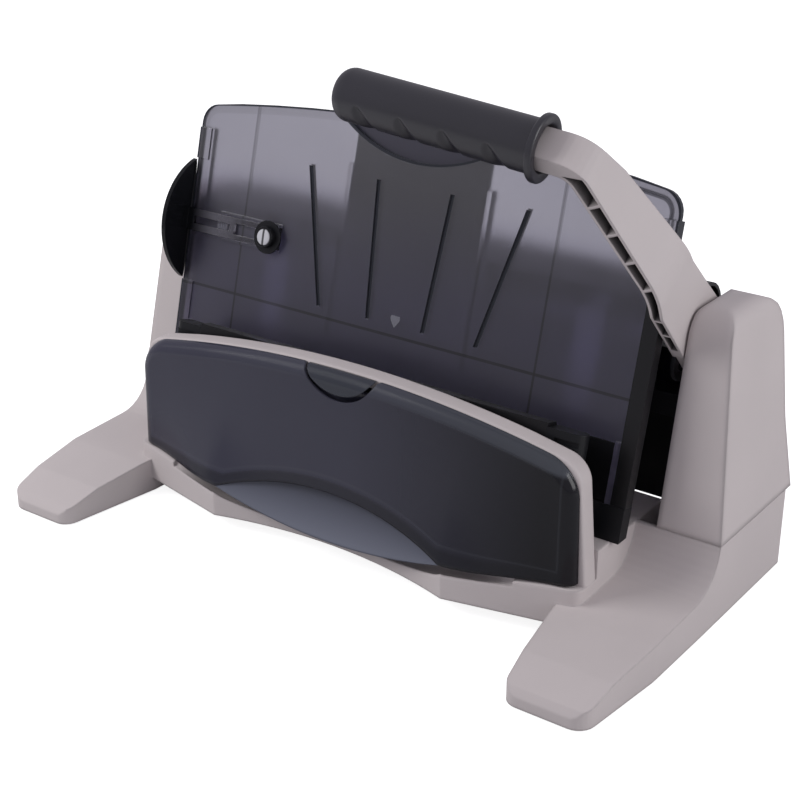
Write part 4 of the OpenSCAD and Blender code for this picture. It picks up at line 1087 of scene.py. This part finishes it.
@dataclass
class Throat:
    """Pieces in the leaning frame of the panel: across, through the panel to the rear and along it."""

    palette: Palette
    panel: Span = (8.0, 108.0)
    tilt: float = -14.8
    support_half: float = 46.0
    support_s: Span = (4.0, 132.0)
    support_v: Span = (3.4, 6.4)
    notch_r: float = 92.8
    notch_s: float = 206.8
    notch_over: float = 3.0
    tip_r: float = 4.0
    sheet_power: float = 0.05
    lip_x: Span = (-163.8, -162.6)
    lip_v: Span = (-1.3, -0.12)
    lip_s: Span = (16.5, 89.5)
    lip_power: float = 0.3
    lip_least: float = 0.0004
    knob_x: float = -98.0
    knob_s: float = 53.2
    knob_r: float = 6.4
    knob_v: Span = (-2.9, -7.4)
    face_r: float = 4.9

    def support(self) -> None:
        """Builds the sliding support: a sheet whose half width follows the panel's round cut-out where that is wider.

        Its upper corners are rounded: over the last few millimetres the half width shrinks along a quarter circle.
        """
        low, high = self.support_s
        tip = high - self.tip_r * (1 - np.sin(np.linspace(0, QUARTER, 12)[1:]))
        s = np.concatenate([np.linspace(low, high - self.tip_r, 110), tip])[:, None]
        cut = np.sqrt(np.clip(self.notch_r**2 - (self.notch_s - s) ** 2, 0, None)) + self.notch_over
        half = np.maximum(self.support_half, np.where(s > self.notch_s - self.notch_r, cut, 0.0))
        past = np.clip((s - high) / self.tip_r + 1, 0, 1)
        half = half - self.tip_r * (1 - np.sqrt(1 - past**2))
        turn = np.linspace(0, FULL, 96, endpoint=False)
        x = half * squared(np.cos(turn), self.sheet_power)
        v = np.mean(self.support_v) + np.ptp(self.support_v) / 2 * squared(np.sin(turn), self.sheet_power)
        rows = lean(x, v, s, self.panel, self.tilt)
        ends = [np.broadcast_to(row.mean(1, keepdims=True), row.shape) for row in (rows[:1], rows[-1:])]
        sheet = Patch(np.concatenate([ends[0], rows, ends[1]]), wrap_cols=True)
        piece = make_piece("support_sheet", [sheet], "support", Slot.SMOKE, self.palette, "paper_support")
        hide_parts("paper_support")

    def guide_lip(self) -> None:
        """Builds the thin lip at the guide's foot: a squared ellipse carried along the panel, pulled in at its ends."""
        s = np.linspace(*self.lip_s, 40)[:, None]
        turn = np.linspace(0, FULL, 24, endpoint=False)
        swell = np.sqrt(np.clip(1 - ((s - np.mean(self.lip_s)) / np.ptp(self.lip_s) * 2) ** 4, self.lip_least, 1))
        mid_x, mid_v = np.mean(self.lip_x), np.mean(self.lip_v)
        x = mid_x + (self.lip_x[1] - mid_x) * squared(np.cos(turn), self.lip_power) * swell
        v = mid_v + (self.lip_v[1] - mid_v) * squared(np.sin(turn), self.lip_power) * swell
        points = lean(x, v, s, self.panel, self.tilt)
        make_piece("guide_lip", [Patch(points, wrap_cols=True)], "guide", Slot.BLACK, self.palette)

    def knob(self) -> None:
        """Builds the lock knob: a dark ring turned about its axis and a white slotted face set into it."""
        turn = np.linspace(0, FULL, 72, endpoint=False)
        low, high = self.knob_v
        ring = np.array([[low, self.knob_r], [high + 0.8, self.knob_r], [high + 0.2, self.knob_r - 0.25],
                         [high, self.knob_r - 0.7], [high + 0.1, self.face_r + 0.3], [high + 1.0, self.face_r + 0.1],
                         [high + 1.0, ON_AXIS]])
        disc = np.array([[high + 0.9, self.face_r], [high + 0.3, self.face_r - 0.1], [high + 0.1, self.face_r - 0.6],
                         [high, self.face_r / 2], [high - 0.05, ON_AXIS]])
        looks = (("knob_ring", ring, Slot.BLACK, ""), ("knob_face", disc, Slot.WHITE, "knob_face"))
        for name, outline, slot, finish in looks:
            x = self.knob_x + outline[:, 1:] * np.cos(turn)
            s = self.knob_s + outline[:, 1:] * np.sin(turn)
            turned = Patch(lean(x, outline[:, :1], s, self.panel, self.tilt), wrap_cols=True)
            piece = make_piece(name, [turned], "knob", slot, self.palette, finish)
            if slot is Slot.WHITE:
                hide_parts("lock_knob")


@dataclass(frozen=True)
class SoftBox:
    """A square lamp that faces a point; shiny faces may show it or not."""

    name: str
    place: Vec
    target: Vec
    size: float
    watts: float
    mirrored: bool

    def hang(self) -> None:
        """Hangs the lamp and turns it to its point."""
        data = bpy.data.lights.new(self.name, "AREA")
        data.size = self.size
        data.energy = self.watts
        obj = bpy.data.objects.new(self.name, data)
        obj.visible_glossy = self.mirrored
        away = np.subtract(self.place, self.target)
        flat = math.hypot(away[0], away[1])
        obj.location = self.place
        obj.rotation_euler = (math.atan2(flat, away[2]), 0.0, math.atan2(away[0], -away[1]))
        bpy.context.scene.collection.objects.link(obj)


@dataclass
class Studio:
    """Pale floor, soft lamps, white surroundings and the camera."""

    eye: Vec = (0.5089, -0.6815, 0.4643)
    turn: Vec = (66.0, 0.0, 36.0)
    lens: float = 72.55
    sensor: float = 36.0
    floor_rgb: Vec = (0.60, 0.60, 0.60)
    floor_glow: float = 0.85
    floor_size: float = 12.0
    floor_rough: float = 0.9
    sky: float = 0.47
    sky_rgb: Vec = (0.98, 0.95, 1.05)
    boxes: tuple[SoftBox, ...] = (
        SoftBox("left_box", (-0.7, -0.6, 0.8), (-0.05, 0.0, 0.05), 0.6, 7.5, False),
        SoftBox("right_box", (1.5, 0.2, 0.7), (0.1, 0.05, 0.1), 0.9, 9.5, True),
    )

    def build(self) -> None:
        """Builds floor, lamps, surroundings and camera."""
        self.floor()
        self.surroundings()
        for box in self.boxes:
            box.hang()
        self.camera()
        bpy.context.scene.view_settings.view_transform = "Standard"

    def floor(self) -> None:
        """Lays a flat square under the part, white to the camera where no shadow falls."""
        half = self.floor_size / 2
        mesh = bpy.data.meshes.new("floor")
        mesh.from_pydata([(-half, -half, 0), (half, -half, 0), (half, half, 0), (-half, half, 0)], [], [(0, 1, 2, 3)])
        obj = bpy.data.objects.new("floor", mesh)
        bpy.context.scene.collection.objects.link(obj)
        sh = Shader("floor")
        body = sh.add("ShaderNodeBsdfPrincipled", Roughness=self.floor_rough, Base_Color=(*self.floor_rgb, 1.0))
        glow = sh.add("ShaderNodeEmission")
        sh.join(sh.times(sh.seen(), self.floor_glow), glow.inputs["Strength"])
        both = sh.add("ShaderNodeAddShader")
        sh.join(body.outputs["BSDF"], both.inputs[0])
        sh.join(glow.outputs["Emission"], both.inputs[1])
        mesh.materials.append(sh.close(both.outputs["Shader"]))

    def surroundings(self) -> None:
        """Makes the surroundings white to the camera and through clear plastic, and softer as light."""
        sh = Shader("surroundings", world=True)
        bpy.context.scene.world = sh.owner
        seen = sh.seen()
        back = sh.add("ShaderNodeBackground")
        tone = sh.add("ShaderNodeMixRGB", Color1=(*self.sky_rgb, 1.0), Color2=(1.0, 1.0, 1.0, 1.0))
        sh.join(seen, tone.inputs["Fac"])
        sh.join(tone.outputs["Color"], back.inputs["Color"])
        sh.join(sh.remap(seen, (0.0, 1.0), (self.sky, 1.0)), back.inputs["Strength"])
        sh.close(back.outputs["Background"])

    def camera(self) -> None:
        """Sets the camera at the photograph's angle."""
        data = bpy.data.cameras.new("camera")
        data.lens = self.lens
        data.sensor_width = self.sensor
        obj = bpy.data.objects.new("camera", data)
        obj.location = self.eye
        obj.rotation_euler = tuple(math.radians(a) for a in self.turn)
        bpy.context.scene.collection.objects.link(obj)
        bpy.context.scene.camera = obj


def main() -> None:
    """Builds the finishes, the pieces and the studio in order."""
    logging.basicConfig(level=logging.INFO, format="%(name)s: %(message)s")
    palette = Palette()
    palette.dress_nodes()
    Rim(palette).build()
    Lever(palette).grip()
    Door(palette).build()
    throat = Throat(palette)
    throat.support()
    throat.guide_lip()
    throat.knob()
    Studio().build()


if __name__ == "__main__":
    main()
